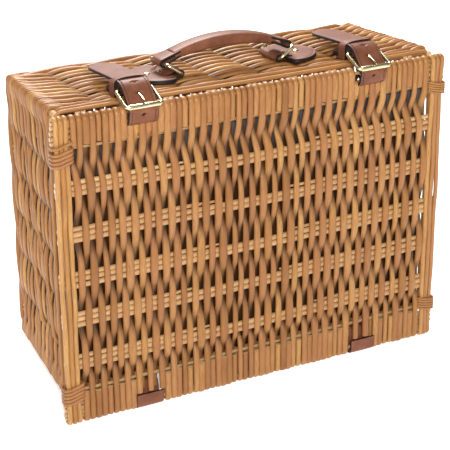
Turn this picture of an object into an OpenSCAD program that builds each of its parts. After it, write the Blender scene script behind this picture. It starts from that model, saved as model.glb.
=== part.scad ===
// Woven willow picnic hamper of the suitcase kind, standing on its hinge side.
// It is drawn upright in "lid coordinates" and then leaned back onto the floor:
// x runs along the lid, y from the lid's outer face towards the base, z up the lid.

/* [Lid] */
// Width of the lid
lid_w = 460; // [420:1:500]
// Height of the lid, from hinge edge to buckle edge
lid_h = 342.5; // [330:0.5:360]
// Thickness of the lid's weave
lid_t = 14; // [13:0.5:16]
// Height of the lid's hinge edge below the body's rear wall
lid_drop = 26; // [22:1:30]

/* [Body] */
// Outer width at the mouth
mouth_w = 450; // [440:1:460]
// Outer height at the mouth
mouth_h = 319.5; // [310:0.5:330]
// Outer width at the base
base_w = 427; // [420:1:440]
// Outer height at the base
base_h = 304; // [295:1:312]
// Depth from the lid's outer face to the outside of the base
depth = 187.5; // [170:0.5:200]
// Thickness of the woven walls and base
wall_t = 12; // [11:0.5:14]

/* [Willow] */
// Radius of the paired sticks and stakes inside the weave
stick_r = 2.9; // [2.5:0.1:3]
// Radius of the wrapped border sticks of the lid
border_r = 4; // [3.5:0.1:4.5]
// Radius of the rods round the mouth
mouth_rod_r = 4.2; // [3.5:0.1:4.5]
// Radius of the four corner posts
post_r = 6; // [5:0.5:6]
// Spacing of the pairs of sticks and stakes
stake_pitch = 48; // [44:1:50]

/* [Leather] */
// Width of the closing straps
strap_w = 32; // [28:1:33]
// Thickness of the closing straps
strap_t = 3.2; // [2.6:0.1:3.4]
// Distance of each strap from the middle
strap_x = 134; // [125:1:145]
// Width of the hinge leathers
hinge_w = 32; // [26:1:36]
// Thickness of the hinge leathers
hinge_t = 2.5; // [2:0.1:2.6]

/* [Handle] */
// Sideways place of the middle of the handle
handle_x = -5; // [-10:1:10]
// Depth of the middle of the handle behind the lid's outer face
handle_y = 77; // [70:1:90]
// Half the distance between the two ring bars that the handle hangs on
grip_reach = 74; // [70:1:80]
// Height of the middle of the grip's centre line above the wall
grip_rise = 31; // [26:1:36]
// Width of the grip
grip_w = 23; // [18:1:28]

/* [Brass] */
// Radius of the wire in the rings and buckle frames
wire_r = 1.9; // [1.6:0.1:2]
// Outer radius of the buckle rollers
roller_r = 2.8; // [2.6:0.1:2.9]
// Radius of the buckle prongs
prong_r = 1.5; // [1.2:0.1:1.6]

/* [Hidden] */

$fn = 48;
eps = 0.2;                     // gap between neighbours that only touch
cut_past = 1;                  // how far a cutting shape reaches past the face it opens
fit = 0.05;                    // radial clearance of a running fit
willow = [0.72, 0.52, 0.36];
stick_willow = [0.78, 0.62, 0.44];
grey_cloth = [0.55, 0.55, 0.55];
leather = [0.48, 0.29, 0.2];
brass = [0.8, 0.68, 0.4];

// Body outline
mouth_y = lid_t + 1.9;                       // front of the mouth border
mouth_z = [lid_drop, lid_drop + mouth_h];
base_rod_r = 7;                              // rod round the base
base_z = [mouth_z[0] + 6, mouth_z[0] + 6 + base_h];
run_y = depth - mouth_y;                     // depth of the tapered body
wall_y = [mouth_y + 4 * mouth_rod_r + 3 * eps, depth - 2 * base_rod_r - eps];

// Lean that rests the body on the lid's hinge edge and on the base's rear edge
edge_r = lid_t / 2;
lean = atan2(base_z[0] + base_rod_r - edge_r, depth - base_rod_r - edge_r);
lift = edge_r - edge_r * (cos(lean) - sin(lean));
low_y = edge_r * (cos(lean) + sin(lean)) - edge_r;
high_y = (depth - base_rod_r) * cos(lean) + (base_z[1] - base_rod_r) * sin(lean) + base_rod_r;

// Rows of sticks in the lid, from the hinge edge up
lid_row_z = [71, 120, 165, 215, 265];
lid_stick_y = 10.6;
stick_apart = 3.1;                           // half the distance between the sticks of a lid row
stake_apart = 3.2;                           // the same in the base and the walls
edge_rod_y = 4.6;
edge_rod_in = 5;                             // first edge rod's centre from the lid's side
edge_rod_pitch = 6;
slot_room = 0.5;                             // room beside a strap in its slot
hinge_room = 0.3;                            // room beside a hinge leather
hinge_notch_z = 18;                          // height of the notch round the border stick
hinge_recess = 0.8;                          // room behind the hinge leather up the lid's back
lining_gap = 0.3;                            // between the lid's back and its lining
plate_x = lid_w / 2 - 20.8;                  // where the lid's woven field ends
lining_half = 212;                           // half the width of the cloth behind the lid
lining_t = 0.9;
lining_z = [40, 312];
binding_z = [[290, 310], [297, 311], [25, 45], [33, 49]];

// Buckles, as (y, z) points beside a strap
roller_at = [-5.5, 343.5];
rear_bar = [20.5, 353.5];
prong_tip = [-8, 347.9];
buckle_half = strap_w / 2 + 3.5;             // side bar's centre from the strap's middle
strap_line = [
    [8, 320.5], [3, 323.5], [-1.4, 328], [-2.2, 333], [-3.2, 338], [-0.5, 342.3], [13.5, 357],
    [20, 360.4], [28, 361], [36, 360.5], [60, 358.5], [90, 355.5], [112, 353.5]
];
slot_z = [318, 329.5];                       // slot in the lid that the strap comes out of

// Handle, in the front wall's own coordinates (x, along the wall, out of the wall)
ring_half = 22;                              // half the width of a ring, bar to bar
ring_foot = [58, 4.7];                       // lower bar, from the handle's middle
ring_head = [grip_reach, 16.2];              // upper bar, from the handle's middle
tab_line = [[47.5, 19], [55, 20], [62, 29], [76, 35], [92, 31], [104, 18], [112, 0]];
rivet_x = [73, 89];

function mix(a, b, t) = a + (b - a) * t;
function depth_share(y) = (y - mouth_y) / run_y;
function half_w_at(y) = mix(mouth_w, base_w, depth_share(y)) / 2;
function rear_z_at(y) = mix(mouth_z[0], base_z[0], depth_share(y));
function front_z_at(y) = mix(mouth_z[1], base_z[1], depth_share(y));
function front_slope() = atan2(mouth_z[1] - base_z[1], run_y);
function side(s) = s * strap_x;
// Outline of a bent strip of even thickness round a line of points
function heading(p, i) = let (a = p[max(i - 1, 0)], b = p[min(i + 1, len(p) - 1)]) (b - a) / norm(b - a);
function strip(p, half) = concat(
    [for (i = [0:len(p) - 1]) p[i] + half * [-heading(p, i)[1], heading(p, i)[0]]],
    [for (i = [len(p) - 1:-1:0]) p[i] - half * [-heading(p, i)[1], heading(p, i)[0]]]
);

// Leans the upright drawing back onto the floor, origin under the middle of its box
module stand() {
    translate([0, -(low_y + high_y) / 2, lift]) rotate([-lean, 0, 0]) children();
}

// Puts children on the outside of the front wall, z out of the wall
module on_front_wall(y) {
    translate([0, y, front_z_at(y)]) rotate([-front_slope(), 0, 0]) children();
}

// Straight round rod between two points
module rod(a, b, r) {
    d = b - a;
    translate(a) rotate([0, acos(d[2] / norm(d)), atan2(d[1], d[0])]) cylinder(r = r, h = norm(d));
}

// Solid with a (y, z) outline, from x0 to x1
module along_x(x0, x1) {
    translate([x0, 0, 0]) rotate([90, 0, 90]) linear_extrude(x1 - x0) children();
}

// Pairs of rods side by side, each with a cut end
module stick_pair(a, b, apart, r) {
    for (s = [-1, 1]) rod(a + s * apart, b + s * apart, r);
}

// ---- base ----
base_stick_y = depth - wall_t / 2 - 0.5;
module base_stick_rows(r, reach) {
    for (i = [-2:2]) {
        z = (base_z[0] + base_z[1]) / 2 + i * stake_pitch;
        stick_pair([-reach, base_stick_y, z], [reach, base_stick_y, z], [0, 0, stake_apart], r);
    }
}

module base_weave() color(willow) stand() difference() {
    m = 2 * base_rod_r + eps;
    translate([-base_w / 2 + m, depth - wall_t - 0.5, base_z[0] + m])
        cube([base_w - 2 * m, wall_t, base_h - 2 * m]);
    base_stick_rows(stick_r + fit, base_w);
}

module base_sticks() color(stick_willow) stand() {
    base_stick_rows(stick_r, base_w / 2 - 2 * base_rod_r - 2 * eps);
}

module base_border() color(willow) stand() {
    y = depth - base_rod_r;
    for (z = [base_z[0] + base_rod_r, base_z[1] - base_rod_r])
        rod([-base_w / 2, y, z], [base_w / 2, y, z], base_rod_r);
    x = base_w / 2 - base_rod_r;
    for (s = [-1, 1])
        rod([s * x, y, base_z[0] + 2 * base_rod_r + eps], [s * x, y, base_z[1] - 2 * base_rod_r - eps],
            base_rod_r);
}

// ---- walls ----
// Middle of a stake in a wall, at depth y: in from the outer face by half the wall
module wall_stake_rods(where, r, y0, y1) {
    count = where == "front" || where == "rear" ? 3.5 : 2.5;
    for (i = [-count:count], s = [-1, 1]) {
        c = i * stake_pitch + s * stake_apart;
        a = stake_point(where, c, y0);
        b = stake_point(where, c, y1);
        rod(a, b, r);
    }
}
function stake_point(where, c, y) =
    where == "front" ? [c, y, front_z_at(y) - wall_t / 2] :
    where == "rear" ? [c, y, rear_z_at(y) + wall_t / 2] :
    [(where == "left" ? -1 : 1) * (half_w_at(y) - wall_t / 2), y, (mouth_z[0] + mouth_z[1]) / 2 + c];

// Slab between two facing trapezoids at the mouth end and the base end of a wall
module slab(at_mouth, at_base) {
    polyhedron(points = concat(at_mouth, at_base), faces = [
        [0, 1, 2, 3], [7, 6, 5, 4], [0, 4, 5, 1], [1, 5, 6, 2], [2, 6, 7, 3], [3, 7, 4, 0]
    ]);
}
function corner_gap() = 2 * post_r + 2 * eps;
function across_wall(y, z, t) = let (x = half_w_at(y) - corner_gap())
    [[-x, y, z], [x, y, z], [x, y, z + t], [-x, y, z + t]];
function up_wall(y, x) =
    let (z0 = rear_z_at(y) + corner_gap(), z1 = front_z_at(y) - corner_gap())
    [[x, y, z1], [x + wall_t, y, z1], [x + wall_t, y, z0], [x, y, z0]];

module front_wall_weave() color(willow) stand() difference() {
    slab(across_wall(wall_y[0], front_z_at(wall_y[0]), -wall_t),
        across_wall(wall_y[1], front_z_at(wall_y[1]), -wall_t));
    wall_stake_rods("front", stick_r + fit, mouth_y, depth);
}

module rear_wall_weave() color(willow) stand() difference() {
    slab(across_wall(wall_y[0], rear_z_at(wall_y[0]) + wall_t, -wall_t),
        across_wall(wall_y[1], rear_z_at(wall_y[1]) + wall_t, -wall_t));
    wall_stake_rods("rear", stick_r + fit, mouth_y, depth);
}

module left_wall_weave() color(willow) stand() difference() {
    slab(up_wall(wall_y[0], -half_w_at(wall_y[0])), up_wall(wall_y[1], -half_w_at(wall_y[1])));
    wall_stake_rods("left", stick_r + fit, mouth_y, depth);
}

module right_wall_weave() color(willow) stand() difference() {
    slab(up_wall(wall_y[0], half_w_at(wall_y[0]) - wall_t),
        up_wall(wall_y[1], half_w_at(wall_y[1]) - wall_t));
    wall_stake_rods("right", stick_r + fit, mouth_y, depth);
}

module wall_stakes(where) color(stick_willow) stand()
    wall_stake_rods(where, stick_r, wall_y[0] + eps, wall_y[1] - eps);
module front_wall_stakes() wall_stakes("front");
module rear_wall_stakes() wall_stakes("rear");
module left_wall_stakes() wall_stakes("left");
module right_wall_stakes() wall_stakes("right");

function post_at(s, front, y) =
    [s * (half_w_at(y) - post_r), y, front ? front_z_at(y) - post_r : rear_z_at(y) + post_r];
module corner_post(s, front) color(stick_willow) stand()
    rod(post_at(s, front, wall_y[0] + eps), post_at(s, front, wall_y[1] - 1), post_r);
module post_front_left() corner_post(-1, true);
module post_front_right() corner_post(1, true);
module post_rear_left() corner_post(-1, false);
module post_rear_right() corner_post(1, false);

module mouth_border() color(willow) stand() {
    for (i = [0, 1]) {
        y = mouth_y + mouth_rod_r + i * (2 * mouth_rod_r + eps);
        x = half_w_at(y) - mouth_rod_r;
        z0 = rear_z_at(y) + mouth_rod_r;
        z1 = front_z_at(y) - mouth_rod_r;
        for (s = [-1, 1]) rod([s * x, y, z0 - mouth_rod_r], [s * x, y, z1 + mouth_rod_r], mouth_rod_r);
        for (z = [z0, z1])
            rod([-x + mouth_rod_r + eps, y, z], [x - mouth_rod_r - eps, y, z], mouth_rod_r);
    }
}

// ---- lid ----
module lid_stick_row(i, r, reach) {
    z = lid_row_z[i];
    stick_pair([-reach, lid_stick_y, z], [reach, lid_stick_y, z], [0, 0, stick_apart], r);
}

module rounded_bar(z) {
    rod([-lid_w / 2, edge_r, z], [lid_w / 2, edge_r, z], edge_r);
}

module lid_weave() color(willow) stand() difference() {
    union() {
        translate([-plate_x, 0, edge_r]) cube([2 * plate_x, lid_t, lid_h - 2 * edge_r]);
        rounded_bar(edge_r);
        rounded_bar(lid_h - edge_r);
    }
    for (i = [0:4]) lid_stick_row(i, stick_r + fit, lid_w);
    for (z = [edge_r, lid_h - edge_r])
        rod([-lid_w, edge_r, z], [lid_w, edge_r, z], border_r + fit);
    for (s = [-1, 1]) {
        // slot that the strap comes out of
        translate([side(s) - strap_w / 2 - slot_room, -cut_past, slot_z[0]])
            cube([strap_w + 2 * slot_room, lid_stick_y, slot_z[1] - slot_z[0]]);
        // room for the hinge leather round the border stick and up the back
        translate([side(s) - hinge_w / 2 - hinge_room, -cut_past, -cut_past])
            cube([hinge_w + 2 * hinge_room, lid_t + 2 * cut_past, hinge_notch_z + cut_past]);
        translate([side(s) - hinge_w / 2 - hinge_room, lid_t - hinge_t - hinge_recess,
                   hinge_notch_z - cut_past])
            cube([hinge_w + 2 * hinge_room, lid_t, lid_drop - hinge_notch_z + 2 * cut_past]);
    }
}

module lid_row(i) color(stick_willow) stand() lid_stick_row(i, stick_r, lid_w / 2 - 1);
module lid_stick_row_1() lid_row(0);
module lid_stick_row_2() lid_row(1);
module lid_stick_row_3() lid_row(2);
module lid_stick_row_4() lid_row(3);
module lid_stick_row_5() lid_row(4);

module lid_border_stick(z) color(stick_willow) stand()
    rod([-lid_w / 2 + 0.5, edge_r, z], [lid_w / 2 - 0.5, edge_r, z], border_r);
module lid_border_stick_top() lid_border_stick(lid_h - edge_r);
module lid_border_stick_bottom() lid_border_stick(edge_r);

module lid_edge_rods(s) color(stick_willow) stand() {
    for (i = [0:2]) {
        x = s * (lid_w / 2 - edge_rod_in - edge_rod_pitch * i);
        rod([x, edge_rod_y, lid_t + eps], [x, edge_rod_y, lid_h - lid_t - eps], stick_r);
    }
}
module lid_edge_rods_left() lid_edge_rods(-1);
module lid_edge_rods_right() lid_edge_rods(1);

// Grey cloth stretched across the back of the lid, inside the mouth
module lid_lining() color(grey_cloth) stand()
    translate([-lining_half, lid_t + lining_gap, lining_z[0]])
        cube([2 * lining_half, lining_t, lining_z[1] - lining_z[0]]);

// Split willow wound round the edge rods near a corner
module binding(s, span) color(willow) stand() {
    w = lid_w / 2 - plate_x - eps;
    proud = 0.6;
    skin = [0.6, 1.9];
    translate([s > 0 ? plate_x + eps : -lid_w / 2, -proud, span[0]]) difference() {
        cube([w, lid_t + proud, span[1] - span[0]]);
        translate([skin[0], skin[1], -1])
            cube([w - 2 * skin[0], lid_t + proud - 2 * skin[1], span[1] - span[0] + 2]);
    }
}
module binding_top_left() binding(-1, binding_z[0]);
module binding_top_right() binding(1, binding_z[1]);
module binding_bottom_left() binding(-1, binding_z[2]);
module binding_bottom_right() binding(1, binding_z[3]);

// Leather wrapped round the lid's border stick and fixed under the rear wall
module hinge_leather(s) color(leather) stand() {
    outer = border_r + fit + hinge_t;
    back = edge_r + outer;
    far_y = 58;
    x0 = side(s) - hinge_w / 2;
    difference() {
        union() {
            rod([x0, edge_r, edge_r], [x0 + hinge_w, edge_r, edge_r], outer);
            along_x(x0, x0 + hinge_w) polygon([
                [edge_r - outer, edge_r], [edge_r - outer, 17], [edge_r - outer + hinge_t, 17],
                [edge_r - outer + hinge_t, edge_r]
            ]);
            along_x(x0, x0 + hinge_w) polygon([
                [back - hinge_t, edge_r], [back, edge_r], [back, lid_drop - hinge_t - eps],
                [far_y, rear_z_at(far_y) - hinge_t - eps], [far_y, rear_z_at(far_y) - eps],
                [mouth_y, lid_drop - eps], [back - hinge_t, lid_drop - 2 * eps]
            ]);
        }
        rod([x0 - 1, edge_r, edge_r], [x0 + hinge_w + 1, edge_r, edge_r], border_r + fit);
    }
}
module hinge_leather_left() hinge_leather(-1);
module hinge_leather_right() hinge_leather(1);

// ---- closing straps and buckles ----
strap_low = 300;               // height under which a strap does not reach
strap_reach = 140;             // more than a strap's length and height
hole_room = 0.4;               // room round a prong in the strap
module strap(s) color(leather) stand() {
    tip = strap_line[len(strap_line) - 1];
    difference() {
        intersection() {
            along_x(side(s) - strap_w / 2, side(s) + strap_w / 2) polygon(strip(strap_line, strap_t / 2));
            // outline seen from above: straight sides and a round tip
            translate([side(s), tip[0] - strap_w / 2, strap_low]) union() {
                cylinder(r = strap_w / 2, h = strap_reach);
                translate([-strap_w / 2, -strap_reach, 0]) cube([strap_w, strap_reach, strap_reach]);
            }
        }
        rod([side(s), rear_bar[0], rear_bar[1]], [side(s), prong_tip[0] - 3, prong_tip[1] - 0.6],
            prong_r + hole_room);
    }
}
module strap_left() strap(-1);
module strap_right() strap(1);

// Leather that holds the buckle: a loop round its rear bar and a tail fixed to the wall
chape_w = strap_w - 2;
chape_t = 2.4;
chape_end = 64;
prong_slot = [6.8, 13, 14];    // opening for the prong in the chape's loop
prong_slot_y = 8;              // how far it starts in front of the bar
prong_slot_z = 5;              // how far it starts under the bar
module chape(s) color(leather) stand() {
    x0 = side(s) - chape_w / 2;
    loop_r = wire_r + fit + chape_t;
    difference() {
        union() {
            rod([x0, rear_bar[0], rear_bar[1]], [x0 + chape_w, rear_bar[0], rear_bar[1]], loop_r);
            along_x(x0, x0 + chape_w) polygon([
                [rear_bar[0], rear_bar[1] + loop_r], [40, front_z_at(40) + 2 * chape_t + eps],
                [chape_end, front_z_at(chape_end) + 2 * chape_t + eps],
                [chape_end, front_z_at(chape_end) + eps], [27, front_z_at(27) + eps],
                [rear_bar[0] - 2.6, rear_bar[1] - 3.3]
            ]);
        }
        rod([x0 - 1, rear_bar[0], rear_bar[1]], [x0 + chape_w + 1, rear_bar[0], rear_bar[1]],
            wire_r + fit);
        translate([side(s) - prong_slot[0] / 2, rear_bar[0] - prong_slot_y, rear_bar[1] - prong_slot_z])
            cube(prong_slot);
    }
}
module chape_left() chape(-1);
module chape_right() chape(1);

// Leather arch that holds the strap's tail down over the chape
module keeper(s) color(leather) stand() {
    y0 = 26.5;
    len_y = 10;
    top_z = 364.8;
    keeper_t = 1.6;
    inner = strap_w / 2 + 0.6;
    foot_z = front_z_at(y0) + eps;
    translate([side(s), y0, foot_z]) difference() {
        translate([-inner - keeper_t, 0, 0]) cube([2 * (inner + keeper_t), len_y, top_z - foot_z]);
        translate([-inner, -1, -1]) cube([2 * inner, len_y + 2, top_z - foot_z - keeper_t + 1]);
    }
}
module keeper_left() keeper(-1);
module keeper_right() keeper(1);

front_bar_r = 1.5;
module buckle_frame(s) color(brass) stand() translate([side(s), 0, 0]) {
    reach = buckle_half + wire_r;
    rod([-reach, rear_bar[0], rear_bar[1]], [reach, rear_bar[0], rear_bar[1]], wire_r);
    rod([-reach, roller_at[0], roller_at[1]], [reach, roller_at[0], roller_at[1]], front_bar_r);
    for (k = [-1, 1]) {
        x = k * buckle_half;
        rod([x - wire_r, roller_at[0], roller_at[1]], [x + wire_r, roller_at[0], roller_at[1]], wire_r);
        rod([x, rear_bar[0], rear_bar[1]], [x, roller_at[0], roller_at[1]], wire_r - 0.1);
    }
}
module buckle_frame_left() buckle_frame(-1);
module buckle_frame_right() buckle_frame(1);

module roller(s) color(brass) stand() translate([side(s), 0, 0]) {
    half = buckle_half - wire_r - 0.4;
    difference() {
        rod([-half, roller_at[0], roller_at[1]], [half, roller_at[0], roller_at[1]], roller_r);
        rod([-half - 1, roller_at[0], roller_at[1]], [half + 1, roller_at[0], roller_at[1]],
            front_bar_r + fit);
    }
}
module roller_left() roller(-1);
module roller_right() roller(1);

module prong(s) color(brass) stand() translate([side(s), 0, 0]) difference() {
    union() {
        rod([-2.6, rear_bar[0], rear_bar[1]], [2.6, rear_bar[0], rear_bar[1]], wire_r + fit + 1.4);
        rod([0, rear_bar[0], rear_bar[1]], [0, prong_tip[0], prong_tip[1]], prong_r);
    }
    rod([-3.6, rear_bar[0], rear_bar[1]], [3.6, rear_bar[0], rear_bar[1]], wire_r + fit);
}
module prong_left() prong(-1);
module prong_right() prong(1);

// ---- handle ----
tab_t = 2.2;
loop_half = 19;
slot_h = 2 * wire_r + 0.8;
slot_x = [ring_foot[0] - wire_r - 0.3, ring_foot[0] + wire_r + 5.6];

// Children are drawn for the right-hand side; s mirrors them about the handle's middle
module at_handle(s) stand() on_front_wall(handle_y) translate([handle_x, 0, 0])
    mirror([s < 0 ? 1 : 0, 0, 0]) children();

rivet_r = 2;
rivet_head_r = 3.6;
rivet_head_h = 1.2;
tab_outline = concat(tab_line, [for (i = [len(tab_line) - 2:-1:0]) [tab_line[i][0], -tab_line[i][1]]]);
module tab(s) color(leather) at_handle(s) difference() {
    union() {
        translate([0, 0, eps]) linear_extrude(2 * tab_t) polygon(tab_outline);
        translate([slot_x[0] - tab_t, -loop_half, eps])
            cube([slot_x[1] - slot_x[0] + 2 * tab_t + 1.5, 2 * loop_half, 2 * tab_t + slot_h]);
    }
    // slot that the foot of the ring turns and shifts in
    translate([slot_x[0], -2 * ring_half, ring_foot[1] - slot_h / 2])
        cube([slot_x[1] - slot_x[0], 4 * ring_half, slot_h]);
    for (x = rivet_x) translate([x, 0, -cut_past]) cylinder(r = rivet_r + fit, h = 9);
}
module handle_tab_left() tab(-1);
module handle_tab_right() tab(1);

module tab_rivets() color(brass) for (s = [-1, 1]) at_handle(s) for (x = rivet_x) translate([x, 0, 0]) {
    translate([0, 0, eps]) cylinder(r = rivet_r, h = 2 * tab_t + 0.3);
    translate([0, 0, eps + 2 * tab_t + fit]) cylinder(r = rivet_head_r, h = rivet_head_h);
}

module ring(s) color(brass) at_handle(s) {
    for (p = [ring_foot, ring_head])
        rod([p[0], -ring_half - wire_r, p[1]], [p[0], ring_half + wire_r, p[1]], wire_r);
    for (k = [-1, 1])
        rod([ring_foot[0], k * ring_half, ring_foot[1]], [ring_head[0], k * ring_half, ring_head[1]],
            wire_r - 0.15);
}
module ring_left() ring(-1);
module ring_right() ring(1);

// Grip: an arch whose centre line is part of a circle
grip_half = 60;
grip_sag = 9;
grip_arc_r = (grip_half * grip_half + grip_sag * grip_sag) / (2 * grip_sag);
function arch(x) = grip_rise - grip_arc_r + sqrt(grip_arc_r * grip_arc_r - x * x);
grip_end_t = 9;                // thickness at the ends
grip_mid_t = 13;               // thickness in the middle
function grip_thick(x) = grip_mid_t - (grip_mid_t - grip_end_t) * pow(x / grip_half, 2);
function arch_outline(reach, k, steps) = concat(
    [for (i = [-steps:steps]) let (x = reach * i / steps) [x, arch(x) + k * grip_thick(x) / 2]],
    [for (i = [steps:-1:-steps]) let (x = reach * i / steps) [x, arch(x) - k * grip_thick(x) / 2]]
);

module across_handle(w) translate([0, w / 2, 0]) rotate([90, 0, 0]) linear_extrude(w) children();

// Round core inside the leather: narrower, shorter and half as thick
module core_shape() across_handle(grip_w - 8) polygon(arch_outline(grip_half - 3, 0.5, 12));

module handle_core() color(stick_willow) at_handle(1) core_shape();

end_w = 24;                     // width of the leather ends that hold the rings
module handle_leather() color(leather) at_handle(1) {
    loop_r = wire_r + fit + 2.6;
    difference() {
        union() {
            across_handle(grip_w) polygon(arch_outline(grip_half, 1, 12));
            for (k = [-1, 1]) mirror([k < 0 ? 1 : 0, 0, 0]) {
                across_handle(end_w) polygon([
                    [grip_half - 8, arch(grip_half) + 3.6], [grip_half + 2, arch(grip_half) + 3],
                    [ring_head[0], ring_head[1] + loop_r], [ring_head[0], ring_head[1] - loop_r + 0.5],
                    [grip_half, arch(grip_half) - 3.4], [grip_half - 8, arch(grip_half) - 2]
                ]);
                rod([ring_head[0], -end_w / 2, ring_head[1]], [ring_head[0], end_w / 2, ring_head[1]],
                    loop_r);
            }
        }
        for (k = [-1, 1])
            rod([k * ring_head[0], -end_w, ring_head[1]], [k * ring_head[0], end_w, ring_head[1]],
                wire_r + fit);
        core_shape();
    }
}

base_weave();
base_sticks();
base_border();
front_wall_weave();
front_wall_stakes();
rear_wall_weave();
rear_wall_stakes();
left_wall_weave();
left_wall_stakes();
right_wall_weave();
right_wall_stakes();
post_front_left();
post_front_right();
post_rear_left();
post_rear_right();
mouth_border();
lid_weave();
lid_stick_row_1();
lid_stick_row_2();
lid_stick_row_3();
lid_stick_row_4();
lid_stick_row_5();
lid_border_stick_top();
lid_border_stick_bottom();
lid_edge_rods_left();
lid_edge_rods_right();
lid_lining();
binding_top_left();
binding_top_right();
binding_bottom_left();
binding_bottom_right();
hinge_leather_left();
hinge_leather_right();
strap_left();
strap_right();
chape_left();
chape_right();
keeper_left();
keeper_right();
buckle_frame_left();
buckle_frame_right();
roller_left();
roller_right();
prong_left();
prong_right();
handle_tab_left();
handle_tab_right();
tab_rivets();
ring_left();
ring_right();
handle_core();
handle_leather();
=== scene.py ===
"""Looks of the willow picnic hamper: rods, leather and brass fittings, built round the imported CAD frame.

All shapes are worked out in "lid coordinates", in millimetres: x along the lid, y from the lid's outer face
towards the base, z up the lid. They are found from the frame, and place() turns them into the row frame.
"""
import math

import bmesh
import bpy
import numpy as np
from mathutils import Matrix, Vector


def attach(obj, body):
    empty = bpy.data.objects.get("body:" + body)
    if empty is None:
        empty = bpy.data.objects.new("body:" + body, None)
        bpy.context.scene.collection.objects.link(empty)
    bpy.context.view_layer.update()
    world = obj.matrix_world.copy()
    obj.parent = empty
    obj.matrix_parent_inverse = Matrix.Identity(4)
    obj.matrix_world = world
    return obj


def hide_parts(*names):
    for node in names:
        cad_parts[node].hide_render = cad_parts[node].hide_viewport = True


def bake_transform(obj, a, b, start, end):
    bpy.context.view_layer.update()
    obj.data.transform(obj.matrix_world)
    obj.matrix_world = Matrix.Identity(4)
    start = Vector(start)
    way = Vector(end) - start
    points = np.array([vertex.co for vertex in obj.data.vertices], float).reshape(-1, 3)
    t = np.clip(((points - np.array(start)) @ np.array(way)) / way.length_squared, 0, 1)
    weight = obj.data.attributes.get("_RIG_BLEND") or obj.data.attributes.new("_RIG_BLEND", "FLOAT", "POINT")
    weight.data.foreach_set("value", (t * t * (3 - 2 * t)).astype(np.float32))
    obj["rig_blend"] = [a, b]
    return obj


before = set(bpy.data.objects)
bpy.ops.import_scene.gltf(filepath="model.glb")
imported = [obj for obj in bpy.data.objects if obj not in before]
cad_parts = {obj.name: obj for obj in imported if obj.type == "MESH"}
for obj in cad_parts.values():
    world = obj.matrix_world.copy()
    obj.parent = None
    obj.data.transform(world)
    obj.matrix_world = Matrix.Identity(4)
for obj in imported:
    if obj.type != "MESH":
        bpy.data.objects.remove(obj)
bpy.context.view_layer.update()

# ---------------------------------------------------------------- lid coordinates
MM = 0.001
TURN = 2 * math.pi
EDGE = 7.0                      # radius of the lid's rounded borders, half its thickness
X_DIR, Y_DIR, Z_DIR = np.eye(3)


def node_points(node):
    """A CAD node's points in the row frame."""
    return np.array([v.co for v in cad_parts[node].data.vertices], float)


def node_middle(node):
    points = node_points(node)
    return (points.min(0) + points.max(0)) / 2


LOW_STICK = node_middle("lid_border_stick_bottom")
HIGH_STICK = node_middle("lid_border_stick_top")
UP = (HIGH_STICK - LOW_STICK) / np.linalg.norm(HIGH_STICK - LOW_STICK)
INWARD = np.cross(UP, X_DIR)
AXES = np.array([X_DIR, INWARD, UP])
ORIGIN = LOW_STICK - EDGE * MM * (UP + INWARD)


def place(points):
    """Lid coordinates in millimetres to the row frame in metres."""
    return ORIGIN + (np.asarray(points, float).reshape(-1, 3) * MM) @ AXES


def lid_box(node):
    """Lowest and highest corner of a CAD node in lid coordinates, in millimetres."""
    points = ((node_points(node) - ORIGIN) @ AXES.T) / MM
    return points.min(0), points.max(0)


LID_HALF = lid_box("lid_weave")[1][0]
LID_TOP = lid_box("lid_weave")[1][2]
MOUTH = lid_box("mouth_border")
BASE = lid_box("base_border")
DEPTH = BASE[1][1]
MOUTH_Y = MOUTH[0][1]
STRAP_BOX = {side: lid_box("strap_" + side) for side in ("left", "right")}
STRAP_X = {side: (box[0][0] + box[1][0]) / 2 for side, box in STRAP_BOX.items()}
STRAP_W = STRAP_BOX["left"][1][0] - STRAP_BOX["left"][0][0]
LID_ROWS = [float(np.mean([b[2] for b in lid_box(f"lid_stick_row_{i}")])) for i in range(1, 6)]


def between_ends(corner, axis, y):
    """Where a face of the body lies at a depth, between the mouth and the base."""
    share = (y - MOUTH_Y) / (DEPTH - MOUTH_Y)
    return MOUTH[corner][axis] + (BASE[corner][axis] - MOUTH[corner][axis]) * share


def half_width(y):
    return between_ends(1, 0, y)


def rear_z(y):
    return between_ends(0, 2, y)


def front_z(y):
    return between_ends(1, 2, y)


# ---------------------------------------------------------------- mesh helpers
def unit(rows):
    """Rows of vectors, each brought to length 1."""
    return rows / (np.linalg.norm(rows, axis=1)[:, None] + 1e-12)


def distances(path):
    """Distance of each point from the start, measured along the path."""
    return np.concatenate([[0], np.cumsum(np.linalg.norm(np.diff(path, axis=0), axis=1))])


def sampled(path, at, wanted):
    """Points of a path at the wanted distances; at holds those of its own points."""
    return np.stack([np.interp(wanted, at, column) for column in path.T], -1)


def at_x(x, yz):
    """Points (y, z) in the plane of one x."""
    return np.column_stack([np.full(len(yz), x), yz])


def tube_faces(start, rings, sides, closed=False):
    """Faces between rings of points; start is the number of the first point."""
    faces = []
    for i in range(rings if closed else rings - 1):
        a = start + i * sides
        b = start + ((i + 1) % rings) * sides
        for j in range(sides):
            k = (j + 1) % sides
            faces.append((a + j, a + k, b + k, b + j))
    return faces


def double_sheet_faces(rows, columns):
    """Faces of two grids of points that face away from each other."""
    grid = rows * columns
    faces = []
    for i in range(rows - 1):
        for j in range(columns - 1):
            a, b = i * columns + j, (i + 1) * columns + j
            faces.append((a, a + 1, b + 1, b))
            faces.append((grid + a, grid + b, grid + b + 1, grid + a + 1))
    return faces


def wander(s, rng, size, wavelength):
    """Smooth random drift along a length s."""
    a, b = rng.uniform(0, TURN, 2)
    turn = TURN * np.asarray(s) / wavelength
    return size * (np.sin(turn + a) + 0.5 * np.sin(1.9 * turn + b)) / 1.5


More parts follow.
